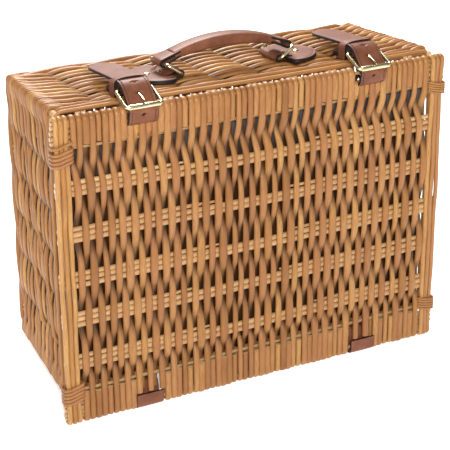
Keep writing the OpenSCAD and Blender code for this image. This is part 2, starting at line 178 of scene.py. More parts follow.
def new_object(name, verts, faces, attributes, material, body=None, replaces=()):
    """Mesh object from points in lid coordinates; it rides on a body and stands for CAD nodes."""
    mesh = bpy.data.meshes.new(name)
    mesh.from_pydata(place(verts).tolist(), [], faces)
    mesh.polygons.foreach_set("use_smooth", [True] * len(mesh.polygons))
    for key, values in attributes.items():
        values = np.asarray(values, np.float32)
        kind = "FLOAT_VECTOR" if values.ndim == 2 else "FLOAT"
        data = mesh.attributes.new(key, kind, "POINT").data
        data.foreach_set("vector" if values.ndim == 2 else "value", values.ravel())
    mesh.validate()
    mesh.update()
    obj = bpy.data.objects.new(name, mesh)
    bpy.context.scene.collection.objects.link(obj)
    mesh.materials.append(material)
    if body:
        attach(obj, body)
    if replaces:
        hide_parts(*replaces)
    return obj


class Bundle:
    """Collects swept rods and makes one mesh of them, with attributes for the material.

    grain is a place along and round the rod, tone sets its colour, cut marks its sawn ends, and shade
    is darkening that is painted on to match the photograph's dark gaps.
    """
    GRAIN_ROUND = 3.0               # how far the grain coordinates reach round a rod
    GRAIN_APART = 977.0             # keeps the grain of rods of different tone apart

    def __init__(self):
        self.verts = []
        self.faces = []
        self.attributes = {"grain": [], "tone": [], "cut": [], "shade": []}
        self.total = 0

    def rod(self, path, radius, across, tone, flat=1.0, sides=9, closed=False, offset=0.0, shade=0.0):
        """Sweeps an oval along path. across is its width's direction, flat its thickness over width."""
        path = np.asarray(path, float)
        count = len(path)
        ahead = np.roll(path, -1, 0) - np.roll(path, 1, 0) if closed else np.gradient(path, axis=0)
        tangent = unit(ahead)
        across = np.broadcast_to(np.asarray(across, float), path.shape)
        side = unit(across - (across * tangent).sum(1)[:, None] * tangent)
        out = np.cross(tangent, side)
        radius = np.broadcast_to(np.asarray(radius, float), (count,))
        angle = np.arange(sides) * TURN / sides
        cosine, sine = np.cos(angle), np.sin(angle)
        ring = (path[:, None, :]
                + (radius[:, None] * cosine)[:, :, None] * side[:, None, :]
                + (flat * radius[:, None] * sine)[:, :, None] * out[:, None, :])
        length = distances(path) + tone * self.GRAIN_APART + offset
        grain = np.stack([
            np.broadcast_to(cosine * self.GRAIN_ROUND, (count, sides)),
            np.broadcast_to(sine * self.GRAIN_ROUND, (count, sides)),
            np.broadcast_to(length[:, None], (count, sides))], axis=2)
        self.faces += tube_faces(self.total, count, sides, closed)
        shade = np.broadcast_to(np.asarray(shade, float), (count,))
        self._add(ring.reshape(-1, 3), grain.reshape(-1, 3), tone, 0.0, np.repeat(shade, sides))
        for end in () if closed else (0, -1):
            order = range(sides) if end else range(sides - 1, -1, -1)
            self.faces.append(tuple(self.total + j for j in order))
            self._add(ring[end], grain[end], tone, 1.0, np.full(sides, shade[end]))

    def _add(self, verts, grain, tone, cut, shade):
        self.verts.append(verts)
        values = {"grain": grain, "tone": np.full(len(verts), tone), "cut": np.full(len(verts), cut),
                  "shade": shade}
        for key, value in values.items():
            self.attributes[key].append(value)
        self.total += len(verts)

    def make(self, name, material, slot, body, replaces=(), plain=False):
        """Makes the object; plain leaves the willow's attributes out."""
        attributes = {} if plain else {key: np.concatenate(v) for key, v in self.attributes.items()}
        return new_object(name, np.concatenate(self.verts), self.faces, attributes, material, body,
                          replaces)


# ---------------------------------------------------------------- materials
def new_material(name):
    material = bpy.data.materials.new(name)
    material.use_nodes = True
    tree = material.node_tree
    tree.nodes.clear()
    output = tree.nodes.new("ShaderNodeOutputMaterial")
    shader = tree.nodes.new("ShaderNodeBsdfPrincipled")
    tree.links.new(shader.outputs[0], output.inputs[0])
    return material, tree, shader


def node(tree, kind, inputs=None, **settings):
    """Adds a node; inputs maps socket names or numbers to values or to other sockets."""
    made = tree.nodes.new(kind)
    for key, value in settings.items():
        setattr(made, key, value)
    for key, value in (inputs or {}).items():
        socket = made.inputs[key]
        if isinstance(value, bpy.types.NodeSocket):
            tree.links.new(value, socket)
        else:
            socket.default_value = value
    return made


def ramp(tree, factor, stops):
    """Colour ramp through (position, colour) stops."""
    made = node(tree, "ShaderNodeValToRGB", {0: factor})
    band = made.color_ramp
    while len(band.elements) < len(stops):
        band.elements.new(0.5)
    for element, (position, colour) in zip(band.elements, stops):
        element.position = position
        element.color = (*colour, 1.0)
    return made.outputs[0]


def math_node(tree, operation, a, b=0.0):
    return node(tree, "ShaderNodeMath", {0: a, 1: b}, operation=operation).outputs[0]


def mix_colour(tree, factor, a, b):
    made = node(tree, "ShaderNodeMix", data_type="RGBA", blend_type="MIX")
    for socket, value in ((made.inputs[0], factor), (made.inputs[6], a), (made.inputs[7], b)):
        if isinstance(value, bpy.types.NodeSocket):
            tree.links.new(value, socket)
        elif socket.type == "RGBA":
            socket.default_value = (*value, 1.0)
        else:
            socket.default_value = value
    return made.outputs[2]


def times(tree, a, b):
    return math_node(tree, "MULTIPLY", a, b)


def stretched(tree, vector, scale):
    return node(tree, "ShaderNodeVectorMath", {0: vector, 1: scale}, operation="MULTIPLY").outputs[0]


def attribute(tree, name, output="Fac"):
    return node(tree, "ShaderNodeAttribute", attribute_name=name).outputs[output]


def object_place(tree):
    return node(tree, "ShaderNodeTexCoord").outputs["Object"]


def noise(tree, vector, scale, **more):
    return node(tree, "ShaderNodeTexNoise", {"Vector": vector, "Scale": scale, **more}).outputs[0]


def patch(tree, factor, low, high, strength):
    """Mask that rises from nothing to strength between two levels of a noise."""
    return ramp(tree, factor, [(low, (0, 0, 0)), (high, (strength,) * 3)])


def set_colour(tree, shader, colour):
    tree.links.new(colour, shader.inputs["Base Color"])


def set_roughness(tree, shader, factor, low, high):
    rough = node(tree, "ShaderNodeMapRange", {0: factor, 3: low, 4: high}).outputs[0]
    tree.links.new(rough, shader.inputs["Roughness"])


def set_bump(tree, shader, height, strength, distance):
    bump = node(tree, "ShaderNodeBump", {"Height": height, "Strength": strength, "Distance": distance})
    tree.links.new(bump.outputs[0], shader.inputs["Normal"])


def set_values(shader, **values):
    """Sets sockets of the shader; an underscore in a name stands for a space."""
    for name, value in values.items():
        shader.inputs[name.replace("_", " ")].default_value = value


def willow(name, dark, middle, light, rosy, pith):
    """Buff willow: tone changes from rod to rod, grain and small marks run along each.

    The darkening by shade isn't a property of willow. It is painted on, to match the photograph's gaps.
    """
    material, tree, shader = new_material(name)
    grain = attribute(tree, "grain", "Vector")
    tone, cut, shade = (attribute(tree, key) for key in ("tone", "cut", "shade"))
    streaks = noise(tree, stretched(tree, grain, (0.9, 0.9, 0.06)), 1.6, Detail=6.0, Roughness=0.65)
    patches = noise(tree, stretched(tree, grain, (0.12, 0.12, 0.03)), 1.0, Detail=3.0)
    marks = noise(tree, stretched(tree, grain, (0.5, 0.5, 0.16)), 1.0, Detail=2.0)
    level = math_node(tree, "ADD", times(tree, tone, 0.5), times(tree, patches, 0.5))
    golden = ramp(tree, level, [(0.2, dark), (0.5, middle), (0.8, light)])
    hue = math_node(tree, "FRACT", times(tree, tone, 7.3))
    base = mix_colour(tree, times(tree, hue, 0.75), golden, rosy)
    streaked = mix_colour(tree, patch(tree, streaks, 0.4, 0.66, 0.62), base, dark)
    spotted = mix_colour(tree, patch(tree, marks, 0.7, 0.78, 0.7), streaked, [0.45 * c for c in dark])
    coloured = mix_colour(tree, cut, spotted, pith)
    darkened = mix_colour(tree, times(tree, shade, 0.92), coloured, [0.2 * c for c in dark])
    set_colour(tree, shader, darkened)
    set_roughness(tree, shader, streaks, 0.3, 0.52)
    set_bump(tree, shader, streaks, 0.45, 0.0007)
    set_values(shader, Specular_IOR_Level=0.42)
    return material


def leather_material():
    """Smooth brown leather: fine pores, soft mottling, and black paint on the cut edges."""
    material, tree, shader = new_material("leather")
    here = object_place(tree)
    edge = attribute(tree, "edge")
    mottle = noise(tree, here, 55.0, Detail=5.0, Roughness=0.6)
    pores = node(tree, "ShaderNodeTexVoronoi", {"Vector": here, "Scale": 1500.0}).outputs[0]
    creases = noise(tree, here, 320.0, Detail=4.0, Distortion=1.2)
    base = ramp(tree, mottle, [(0.3, (0.135, 0.042, 0.020)), (0.55, (0.205, 0.070, 0.034)),
                               (0.8, (0.275, 0.105, 0.054))])
    worn = mix_colour(tree, patch(tree, creases, 0.55, 0.8, 0.35), base, (0.30, 0.135, 0.075))
    set_colour(tree, shader, mix_colour(tree, edge, worn, (0.012, 0.009, 0.008)))
    set_roughness(tree, shader, creases, 0.42, 0.6)
    set_bump(tree, shader, math_node(tree, "ADD", times(tree, pores, 0.5), creases), 0.25, 0.0003)
    set_values(shader, Specular_IOR_Level=0.28, Coat_Weight=0.05, Coat_Roughness=0.4)
    return material


def brass_material():
    """Polished brass with faint scratches and slightly duller patches."""
    material, tree, shader = new_material("brass")
    here = object_place(tree)
    patches = noise(tree, here, 160.0, Detail=4.0)
    scratches = noise(tree, stretched(tree, here, (1.0, 9.0, 9.0)), 700.0, Detail=2.0)
    set_colour(tree, shader, ramp(tree, patches, [(0.3, (0.72, 0.60, 0.33)), (0.7, (0.90, 0.80, 0.55))]))
    set_roughness(tree, shader, patches, 0.16, 0.34)
    set_bump(tree, shader, scratches, 0.08, 0.0001)
    set_values(shader, Metallic=1.0)
    return material


def thread_material():
    """Waxed dark brown thread, with a fine twist."""
    material, tree, shader = new_material("thread")
    twist = noise(tree, object_place(tree), 2500.0)
    set_colour(tree, shader, ramp(tree, twist, [(0.3, (0.03, 0.015, 0.01)), (0.7, (0.07, 0.035, 0.02))]))
    set_bump(tree, shader, twist, 0.5, 0.0002)
    set_values(shader, Roughness=0.6)
    return material


def cloth_material():
    """Plain grey cloth. Where shade is painted on it, it is brown, to match the photograph."""
    material, tree, shader = new_material("cloth")
    here = object_place(tree)
    threads = [node(tree, "ShaderNodeTexWave", {"Vector": here, "Scale": 420.0, "Distortion": 0.6},
                    bands_direction=way).outputs[0] for way in ("X", "Z")]
    weave = times(tree, *threads)
    mottle = noise(tree, here, 18.0, Detail=3.0)
    level = math_node(tree, "ADD", times(tree, weave, 0.4), mottle)
    # share of the cloth left without the painted brown shade; the rest is painted shade
    unshaded = attribute(tree, "unshaded")
    grey = ramp(tree, level, [(0.4, (0.060, 0.056, 0.060)), (0.85, (0.115, 0.112, 0.122))])
    brown = ramp(tree, level, [(0.4, (0.030, 0.011, 0.004)), (0.85, (0.060, 0.026, 0.012))])
    set_colour(tree, shader, mix_colour(tree, unshaded, brown, grey))
    set_values(shader, Specular_IOR_Level=0.08, Roughness=0.9)
    set_bump(tree, shader, weave, 0.4, 0.0002)
    return material


def core_material():
    """Filler inside the grip: pale brown, fibrous, dull."""
    material, tree, shader = new_material("core")
    fibres = noise(tree, stretched(tree, object_place(tree), (0.2, 1.0, 1.0)), 900.0, Detail=4.0)
    set_colour(tree, shader, ramp(tree, fibres, [(0.3, (0.28, 0.17, 0.09)), (0.7, (0.46, 0.31, 0.18))]))
    set_bump(tree, shader, fibres, 0.5, 0.0003)
    set_values(shader, Roughness=0.85)
    return material


ROD = willow("willow_rods", (0.240, 0.092, 0.022), (0.405, 0.182, 0.048), (0.600, 0.330, 0.105),
             (0.365, 0.148, 0.052), (0.60, 0.41, 0.20))
STICK = willow("willow_sticks", (0.400, 0.205, 0.080), (0.580, 0.355, 0.160), (0.710, 0.480, 0.240),
               (0.520, 0.290, 0.140), (0.70, 0.50, 0.29))
LEATHER = leather_material()
BRASS = brass_material()
CLOTH = cloth_material()
THREAD = thread_material()

# ---------------------------------------------------------------- weaving
PITCH = 6.65                    # spacing of the rods in every woven field
ROD_R = 3.55                    # half a rod's width where it squeezes past its neighbours
ROD_SPREAD = 0.19               # share by which it is wider where it is pressed flat over a stick
ROD_LEAN = 0.3                  # how far a rod shifts sideways where it passes over a stick
BAY_SHIFT = 1.1                 # how far all rods lie to the right halfway between two rows
TOP_BAY_SHIFT = -1.9            # the same in the bay under the top border
SLANT = np.array([0.0, 0.2, 0.4, 0.7, 1.0, 0.6, -1.4])  # drift of the whole weave at each crossing
ROD_FLAT = 0.7                  # thickness over width of a rod pressed into the weave
SWING = 4.3                     # how far a rod moves to either side of the sticks
MIDDLE = 7.1                    # depth of the lid's sticks behind its outer face
WRAP = 4.5                      # radius of a rod's path round a border stick
STUB_END = 31.5                 # length of the short cut ends under the top border
LOW_STUB_END = 36.0             # the same over the bottom border
STEP = 2.6                      # spacing of the rings along a rod
OVER = 0.8                      # under 1: a rod keeps to its side of the sticks longer than a sine would


def samples(a, b, step=STEP):
    return np.linspace(a, b, max(2, int(abs(b - a) / step) + 1))


def arc(centre, radius, start, end, count=9):
    """Points (first, second) on an arc, with angles in degrees."""
    angle = np.radians(np.linspace(start, end, count))
    return np.stack([centre[0] + radius * np.cos(angle), centre[1] + radius * np.sin(angle)], 1)


def rod_radius(count, rng, base=ROD_R):
    """Radii along a rod of count rings: it tapers a little, and is never quite even."""
    taper = rng.uniform(-0.07, 0.07)
    size = base * float(np.clip(rng.normal(1.0, 0.09), 0.8, 1.17))
    uneven = wander(np.arange(count) * STEP, rng, 0.025, 70.0)
    return size * (1 + taper * np.linspace(-1, 1, count) + uneven)


def bulge(wave, power=OVER):
    """A wave that stays longer near its crests."""
    return np.sign(wave) * np.abs(wave) ** power


def ends_ease(s, start, end, reach):
    """0 at both ends of a stretch, rising to 1 within a reach of them."""
    return np.clip(np.minimum(s - start, end - s) / reach, 0, 1)


def crossing_wave(s, crossings):
    """+1 and -1 in turn at the crossings, eased between them: a rod goes over one, under the next."""
    marks = np.arange(len(crossings), dtype=float)
    return np.cos(math.pi * np.interp(s, crossings, marks))


def kinked(wave):
    """The same wave with straighter flanks: a rod bends sharply over a stick, and is straight between."""
    return np.arcsin(0.97 * wave) / math.asin(0.97)


# ---------------------------------------------------------------- lid
TOP_LINE = LID_TOP - 34.5       # the single thin stick under the top border
LOW_LINE = 38.0                 # the single thin stick over the bottom border
CROSSINGS = [LOW_LINE, *LID_ROWS, TOP_LINE]
FIELD_HALF = 206.0              # the woven field, between the edge rods
EDGE_RODS = (226.2, 220.3, 214.4)
CORNERS = ("top_left", "top_right", "bottom_left", "bottom_right")
BINDINGS = [lid_box("binding_" + name) for name in CORNERS]
HINGE_X = [sum(lid_box("hinge_leather_" + side)[i][0] for i in (0, 1)) / 2 for side in ("left", "right")]
HINGE_HALF = 16.5
SLOT_HALF = STRAP_W / 2 + 0.6
SLOT_LOW = 320.0                # the strap comes out of the lid just above this height
SLOT_EASE = (300.0, 15.0)       # where rods under a slot turn to the front, and over what height
SLOT_BEND = 3.6                 # radius of a rod's turned end under a slot
SLOT_IN = 1.2                   # how far such a rod lies behind the others
NEAR, FAR = EDGE - WRAP, EDGE + WRAP    # depths of a rod's path before and behind a border stick
BORDER_EASE = 14.0              # height over which a rod moves from the weave to its side of the border
LOW_CENTRE, TOP_CENTRE = (EDGE, EDGE), (EDGE, LID_TOP - EDGE)
EDGE_ROD_R = 2.75
EDGE_ROD_Y = 3.6
EDGE_ROD_TAIL = 22.0            # height of an edge rod's cut end behind the lower border
STICK_APART = 6.2
STICK_R = 2.9
BORDER_STICK_R = 1.9
CORNER_STUB_R = 2.4
CORNER_STUB_PITCH = 5.6
CORNER_STUB_X = 196.0           # where the sticks' stacked short ends stop
BINDING_TURNS = 5
BINDING_R = 0.46                # half a binding strand's width, as a share of the turns' spacing
PINCH_X = 218.5                 # distance from the middle to which a binding draws the edge rods
PINCH_REACH = 38.0              # how far up and down it draws them
PINCH_SHARE = 0.17              # how much of the way it draws them


def lid_rod_top(x, front, rng):
    """A rod's turn over the top border, front to back or back to front, and its straight tail."""
    end = LID_TOP - STUB_END + rng.uniform(-1.5, 1.5)
    bend = arc(TOP_CENTRE, WRAP, 180, 0) if front else arc(TOP_CENTRE, WRAP, 0, 180)
    side_y = FAR if front else NEAR + 0.4
    straight = samples(bend[-1][1], end, 4.0)[1:]
    tail = np.column_stack([x + wander(straight, rng, 0.25, 40.0),
                            np.linspace(bend[-1][0], side_y, len(straight)), straight])
    return np.concatenate([at_x(x, bend[1:]), tail])


def lid_rod_foot(x, front, rng):
    """A rod's straight cut end behind or before the bottom border, and its turn round it."""
    bend = arc(LOW_CENTRE, WRAP, 0, -180) if front else arc(LOW_CENTRE, WRAP, -180, 0)
    end = LOW_STUB_END + rng.uniform(-1.2, 1.2)
    straight = samples(end, EDGE, 4.0)[:-1]
    side_y = np.full(len(straight), FAR if front else NEAR + 0.4)
    return np.concatenate([at_x(x, np.column_stack([side_y, straight])), at_x(x, bend[:-1])])


def lid_rod(bundle, x, phase, rng):
    """One upright rod of the lid, from its cut tip at the bottom border to the one at the top."""
    hinge_gap = any(abs(x - centre) < HINGE_HALF for centre in HINGE_X)
    slot_gap = any(abs(x - centre) < SLOT_HALF for centre in STRAP_X.values())
    top_end = SLOT_LOW + 1.5 if slot_gap else LID_TOP - EDGE
    low_end = 19.5 + rng.uniform(-1, 1) if hinge_gap else EDGE
    z = samples(low_end, top_end)
    wave = phase * crossing_wave(z, CROSSINGS)
    signs = phase * (-1.0) ** np.arange(len(CROSSINGS))
    shifts = ROD_LEAN * signs + rng.normal(0, 0.5, len(CROSSINGS)) + SLANT
    shifts[0], shifts[-1] = SLANT[0], SLANT[-1]
    bay = np.where(z > LID_ROWS[-1], TOP_BAY_SHIFT * (1 + 0.7 * x / FIELD_HALF), BAY_SHIFT)
    inside = (z > LOW_LINE) & (z < TOP_LINE)
    path_x = x + np.interp(z, CROSSINGS, shifts) + bay * (1 - wave ** 2) * inside
    path_y = MIDDLE - SWING * rng.uniform(0.93, 1.03) * bulge(wave)
    front_top = phase * crossing_wave(TOP_LINE, CROSSINGS) > 0
    front_low = phase > 0
    # beyond the thin sticks the rod keeps to its side and joins the curve round the border stick
    for past, front in ((z - TOP_LINE, front_top), (LOW_LINE - z, front_low)):
        ease = np.clip(past / BORDER_EASE, 0, 1)
        path_y = path_y * (1 - ease) + (NEAR if front else FAR) * ease
    if slot_gap:
        ease = np.clip((z - SLOT_EASE[0]) / SLOT_EASE[1], 0, 1)
        path_y = path_y * (1 - ease) + (NEAR + SLOT_IN) * ease
        end = at_x(path_x[-1], arc((NEAR + SLOT_IN + SLOT_BEND, top_end), SLOT_BEND, 180, 20, 6)[1:])
    else:
        end = lid_rod_top(path_x[-1], front_top, rng)
    path = np.concatenate([np.column_stack([path_x, path_y, z]), end])
    if not hinge_gap:
        path = np.concatenate([lid_rod_foot(path_x[0], front_low, rng), path])
    in_weave = ends_ease(path[:, 2], LOW_LINE, TOP_LINE, 12)
    press = np.abs(crossing_wave(path[:, 2], CROSSINGS)) ** 1.5
    radius = rod_radius(len(path), rng) * (1 + ROD_SPREAD * press * in_weave)
    shade = np.clip((path[:, 1] - MIDDLE + 2.2) / (SWING + 1.0), 0, 1) * in_weave
    if slot_gap:
        radius[-3:] *= (0.97, 0.85, 0.6)
    bundle.rod(path, radius, X_DIR, rng.uniform(0, 1), flat=ROD_FLAT, shade=shade)


def pinched(x, z, half):
    """Draws a rod towards the middle of the bindings near the corners."""
    centre = math.copysign(half, x)
    pull = np.zeros_like(z)
    for low, high in BINDINGS:
        if (low[0] + high[0]) * x > 0:
            middle = (low[2] + high[2]) / 2
            pull = np.maximum(pull, np.exp(-((z - middle) / PINCH_REACH) ** 2))
    return x + (centre - x) * PINCH_SHARE * pull


def build_edge_rods(side, sign, rng):
    """Three rods down one side of the lid, bent round both border sticks."""
    edge = Bundle()
    z = samples(EDGE, LID_TOP - EDGE)
    for x in EDGE_RODS:
        path_x = pinched(sign * x, z, PINCH_X) + wander(z, rng, 0.5, 130.0)
        path_y = EDGE_ROD_Y + wander(z, rng, 0.4, 90.0)
        ease = ends_ease(z, EDGE, LID_TOP - EDGE, 25)
        path_y = path_y * ease + NEAR * (1 - ease)
        path = np.concatenate([
            [[path_x[0], FAR - 0.7, EDGE_ROD_TAIL]], at_x(path_x[0], arc(LOW_CENTRE, WRAP, 0, -180)),
            np.column_stack([path_x, path_y, z])[1:-1], at_x(path_x[-1], arc(TOP_CENTRE, WRAP, 180, 0)),
            [[path_x[-1], FAR - 0.7, LID_TOP - EDGE_ROD_TAIL]]])
        edge.rod(path, rod_radius(len(path), rng, EDGE_ROD_R), X_DIR, rng.uniform(0.45, 1.0), flat=0.95)
    edge.make("edge_rods_" + side, ROD, "willow_sticks", "lid", ["lid_edge_rods_" + side])


def build_stick_row(i, z, rng):
    """Two long sticks over each other, and a third layer of two shorter ones with tapered tips."""
    row = Bundle()
    half = LID_HALF - 2.0
    levels = [(-6.0, -half, half), (0.2, -half, half),
              (STICK_APART, -half, rng.uniform(-90, -40)), (STICK_APART, rng.uniform(20, 80), half)]
    for offset, start, end in levels:
        x = samples(start + rng.uniform(0, 1.5), end - rng.uniform(0, 1.5), 6.0)
        z_path = z + offset + wander(x, rng, 0.45, 240.0)
        y_path = MIDDLE + wander(x, rng, 0.3, 110.0)
        radius = STICK_R + wander(x, rng, 0.12, 90.0)
        if offset == STICK_APART:
            inner = np.abs(x - (end if start == -half else start))
            radius = 2.5 * np.clip(0.45 + inner / 90, 0.45, 1)
        row.rod(np.column_stack([x, y_path, z_path]), radius, Y_DIR, rng.uniform(0.3, 1), sides=10)
    row.make(f"lid_sticks_{i}", STICK, "willow_sticks", "lid", [f"lid_stick_row_{i}"])


def build_lid_border(name, z, line, away, rng):
    """Border stick and thin stick of the lid's top or bottom, and the short ends at both corners."""
    sticks = Bundle()
    x = samples(-LID_HALF + 1, LID_HALF - 1, 8.0)
    middle = np.full(len(x), MIDDLE)
    sticks.rod(np.column_stack([x, np.full(len(x), EDGE), np.full(len(x), z)]), BORDER_STICK_R, Y_DIR, 0.5)
    sticks.rod(np.column_stack([x, middle, line + wander(x, rng, 0.7, 200.0)]), BORDER_STICK_R, Y_DIR, 0.7,
               shade=0.35)
    for sign in (-1, 1):
        for k in range(4):
            tip = sign * (LID_HALF - rng.uniform(-0.8, 1.0))
            stub = samples(tip, sign * CORNER_STUB_X, 7.0)
            level = np.full(len(stub), z + (k + 0.8) * away * CORNER_STUB_PITCH)
            depth = np.full(len(stub), MIDDLE + rng.uniform(-0.6, 0.6))
            sticks.rod(np.column_stack([stub, depth, level]), CORNER_STUB_R, Y_DIR, rng.uniform(0.1, 0.9))
    sticks.make("lid_border_" + name, STICK, "willow_sticks", "lid", ["lid_border_stick_" + name])


def build_lid():
    """All of the lid's willow, drawn from one row of random numbers."""
    rng = np.random.default_rng(11)
    weave = Bundle()
    count = int(2 * FIELD_HALF / PITCH) + 1
    for i, x in enumerate(np.linspace(-FIELD_HALF, FIELD_HALF, count)):
        lid_rod(weave, x + rng.normal(0, 0.25), 1 if i % 2 else -1, rng)
    weave.make("lid_rods", ROD, "willow", "lid", ["lid_weave"])
    for side, sign in (("left", -1), ("right", 1)):
        build_edge_rods(side, sign, rng)
    for i, z in enumerate(LID_ROWS, 1):
        build_stick_row(i, z, rng)
    build_lid_border("top", LID_TOP - EDGE, TOP_LINE, -1, rng)
    build_lid_border("bottom", EDGE, LOW_LINE, 1, rng)
    for name, (low, high) in zip(CORNERS, BINDINGS):
        build_binding(name, low, high, rng)


def rounded_loop(low, high, radius, count=40):
    """Points on a rounded rectangle, once round, without repeating the first."""
    points = []
    right, left = high[0] - radius, low[0] + radius
    top, bottom = high[1] - radius, low[1] + radius
    centres = ((right, top), (left, top), (left, bottom), (right, bottom))
    for quarter, centre in enumerate(centres):
        points.append(arc(centre, radius, 90 * quarter, 90 * quarter + 90, 5))
    corners = np.concatenate(points)
    closed = np.concatenate([corners, corners[:1]])
    length = distances(closed)
    return sampled(closed, length, np.linspace(0, length[-1], count, endpoint=False))


def build_binding(name, low, high, rng):
    """Split willow wound round the edge rods: one strand, several turns, slanting across the front."""
    strand = Bundle()
    outer = 1 if "right" in name else -1
    middle = (low[0] + high[0]) / 2
    loop = rounded_loop((low[0] - 0.2, -0.3), (high[0] + 0.2, 12.6), 3.2, 44)
    pitch = (high[2] - low[2] - 3.6) / (BINDING_TURNS - 1)
    path = []
    for turn in range(BINDING_TURNS):
        loose_end = 3.0 if name == "top_left" and turn == BINDING_TURNS - 1 else 0.0
        for i, (x, y) in enumerate(loop):
            z = low[2] + 1.8 + pitch * (turn + i / len(loop) * 0.6)
            inner = max(0.0, outer * (middle - x) + 3)
            z += (0.26 if y < 4 else 0.1) * inner - 0.9 + loose_end
            path.append((x, y, z + rng.normal(0, 0.05)))
    strand.rod(path, BINDING_R * pitch, Z_DIR, rng.uniform(0.4, 0.8), flat=0.75, sides=8)
    strand.make("binding_strands_" + name, ROD, "willow", "lid", ["binding_" + name])


build_lid()

# ---------------------------------------------------------------- body: walls woven in rounds
WALL_CORE = 6.0                 # depth of the stakes behind the outer face
WALL_SWING = 4.3                # how far the weavers move to either side of the stakes
WALL_LEAN = 3.6                 # how far they slant where they pass a stake
CORNER_OUT = 5.4                # how far the weavers pass outside the middle of a corner post
STAKE_PITCH = 48.0
ROUNDS_FROM = MOUTH_Y + 17.5
ROUNDS_TO = DEPTH - 17.0
WALLS = ("front", "right", "rear", "left")
STAKE_X = [STAKE_PITCH * i for i in range(-4, 5)]
STAKE_Z = list(np.arange(62.0, 320.0, STAKE_PITCH))
PAIR = (-3.0, 3.0)              # the two stakes or sticks of a pair, either side of their middle
PAIR_R = 2.7
POST_R = 3.6
ROUND_PITCH = 6.7               # spacing of the rounds of weaving
WALL_ROD_R = 2.75
WALL_ROD_FLAT = 0.68
CORNER_RINGS = 5                # rings on the part of a rod's turn round a corner post that each wall holds
MOUTH_ROD_R = 2.15
MOUTH_ROD_PITCH = 4.8
BASE_ROD_R = 3.7
BASE_TWIST = 3.2                # radius at which the base border's rods wind round each other


def wall_frame(wall, y):
    """Start corner, direction, outward normal and length of a wall's middle line at a depth."""
    half = half_width(y) - WALL_CORE
    low, high = rear_z(y) + WALL_CORE, front_z(y) - WALL_CORE
    return {
        "front": ((-half, high), (1, 0), (0, 1), 2 * half),
        "right": ((half, high), (0, -1), (1, 0), high - low),
        "rear": ((half, low), (-1, 0), (0, -1), 2 * half),
        "left": ((-half, low), (0, 1), (-1, 0), high - low)}[wall]


def stakes_along(wall, y):
    """Distances of the stakes from the start corner of a wall, at a depth."""
    (x0, z0), (dx, dz), _, length = wall_frame(wall, y)
    places = [(x - x0) * dx for x in STAKE_X] if dx else [(z - z0) * dz for z in STAKE_Z]
    return sorted(p for p in places if 14 < p < length - 14)


def corner_turn(x, z, along, out, y, angles):
    """Points round a corner post; along and out are directions in the wall's plane and out of it."""
    return [(x + CORNER_OUT * (out[0] * math.cos(a) + along[0] * math.sin(a)), y,
             z + CORNER_OUT * (out[1] * math.cos(a) + along[1] * math.sin(a))) for a in angles]


def wall_rod(bundle, wall, y, phase, rng, size, tone, offset):
    """The stretch of one round of weaving that lies on a wall, with half of each corner."""
    (x0, z0), (dx, dz), (nx, nz), length = wall_frame(wall, y)
    stakes = stakes_along(wall, y)
    s = samples(0, length)
    marks = [0.0, *stakes, length]
    values = np.array([1.0] + [phase * (-1) ** i for i in range(len(stakes))] + [1.0])
    place_in = np.interp(s, marks, np.arange(len(marks)))
    low = np.clip(place_in.astype(int), 0, len(marks) - 2)
    ease = 0.5 - 0.5 * np.cos(math.pi * (place_in - low))
    wave = values[low] * (1 - ease) + values[low + 1] * ease
    near_end = ends_ease(s, 0, length, 22)
    out = WALL_SWING * bulge(wave) * near_end + CORNER_OUT * (1 - near_end)
    lean = WALL_LEAN * rng.uniform(0.5, 1.3)
    depth = y + (wander(s, rng, 1.5, 170.0) + rng.normal(0, 0.4) - lean * kinked(wave)) * near_end
    turn = np.radians(np.linspace(45, 9, CORNER_RINGS))
    path = np.concatenate([
        corner_turn(x0, z0, (-dx, -dz), (nx, nz), y, turn),
        np.column_stack([x0 + dx * s + nx * out, depth, z0 + dz * s + nz * out]),
        corner_turn(x0 + dx * length, z0 + dz * length, (dx, dz), (nx, nz), y, turn[::-1])])
    count = len(path)
    rings = np.arange(count)
    radius = size * (1 + wander(rings * STEP, rng, 0.06, 120.0) * ends_ease(rings, 0, count - 1, 8))
    shade = np.pad(np.clip((2.0 - out) / WALL_SWING, 0, 1), CORNER_RINGS)
    bundle.rod(path, radius, Y_DIR, tone, flat=WALL_ROD_FLAT, offset=offset, shade=shade)
    return length


def build_walls():
    """Rounds of weaving that run over all four walls, and a few stray rods on top."""
    rng = np.random.default_rng(23)
    bundles = {wall: Bundle() for wall in WALLS}
    count = int((ROUNDS_TO - ROUNDS_FROM) / ROUND_PITCH) + 1
    for i, y in enumerate(np.linspace(ROUNDS_FROM, ROUNDS_TO, count)):
        size = WALL_ROD_R * float(np.clip(rng.normal(1, 0.14), 0.75, 1.25))
        tone = rng.uniform(0, 1)
        offset = 0.0
        for wall in WALLS:
            offset += wall_rod(bundles[wall], wall, y, 1 if i % 2 else -1, rng, size, tone, offset)
    for wall, sign in (("left", 1), ("right", -1), ("rear", 1)):
        for start, end in ((0.2, 0.62), (0.45, 0.86)):
            stray_rod(bundles[wall], wall, start, end, sign, rng)
    for wall in WALLS:
        bundles[wall].make(wall + "_wall_rods", ROD, "willow", "basket", [wall + "_wall_weave"])


def stray_rod(bundle, wall, start, end, sign, rng):
    """A longer rod that crosses the weave at a slant: the tip of one weaver laid over the others."""
    t = np.linspace(0, 1, 70)
    points = []
    for k in t:
        y = MOUTH_Y + (DEPTH - MOUTH_Y) * (start + (end - start) * k * k * (3 - 2 * k))
        (x0, z0), (dx, dz), (nx, nz), length = wall_frame(wall, y)
        s = length * (0.12 + 0.76 * (k if sign > 0 else 1 - k))
        out = WALL_SWING - 7.0 * max(0.0, 1 - min(k, 1 - k) / 0.06)
        points.append((x0 + dx * s + nx * out, y, z0 + dz * s + nz * out))
    bundle.rod(points, 2.5 * (1 - 0.35 * t), Y_DIR, rng.uniform(0.4, 0.8), flat=0.9)


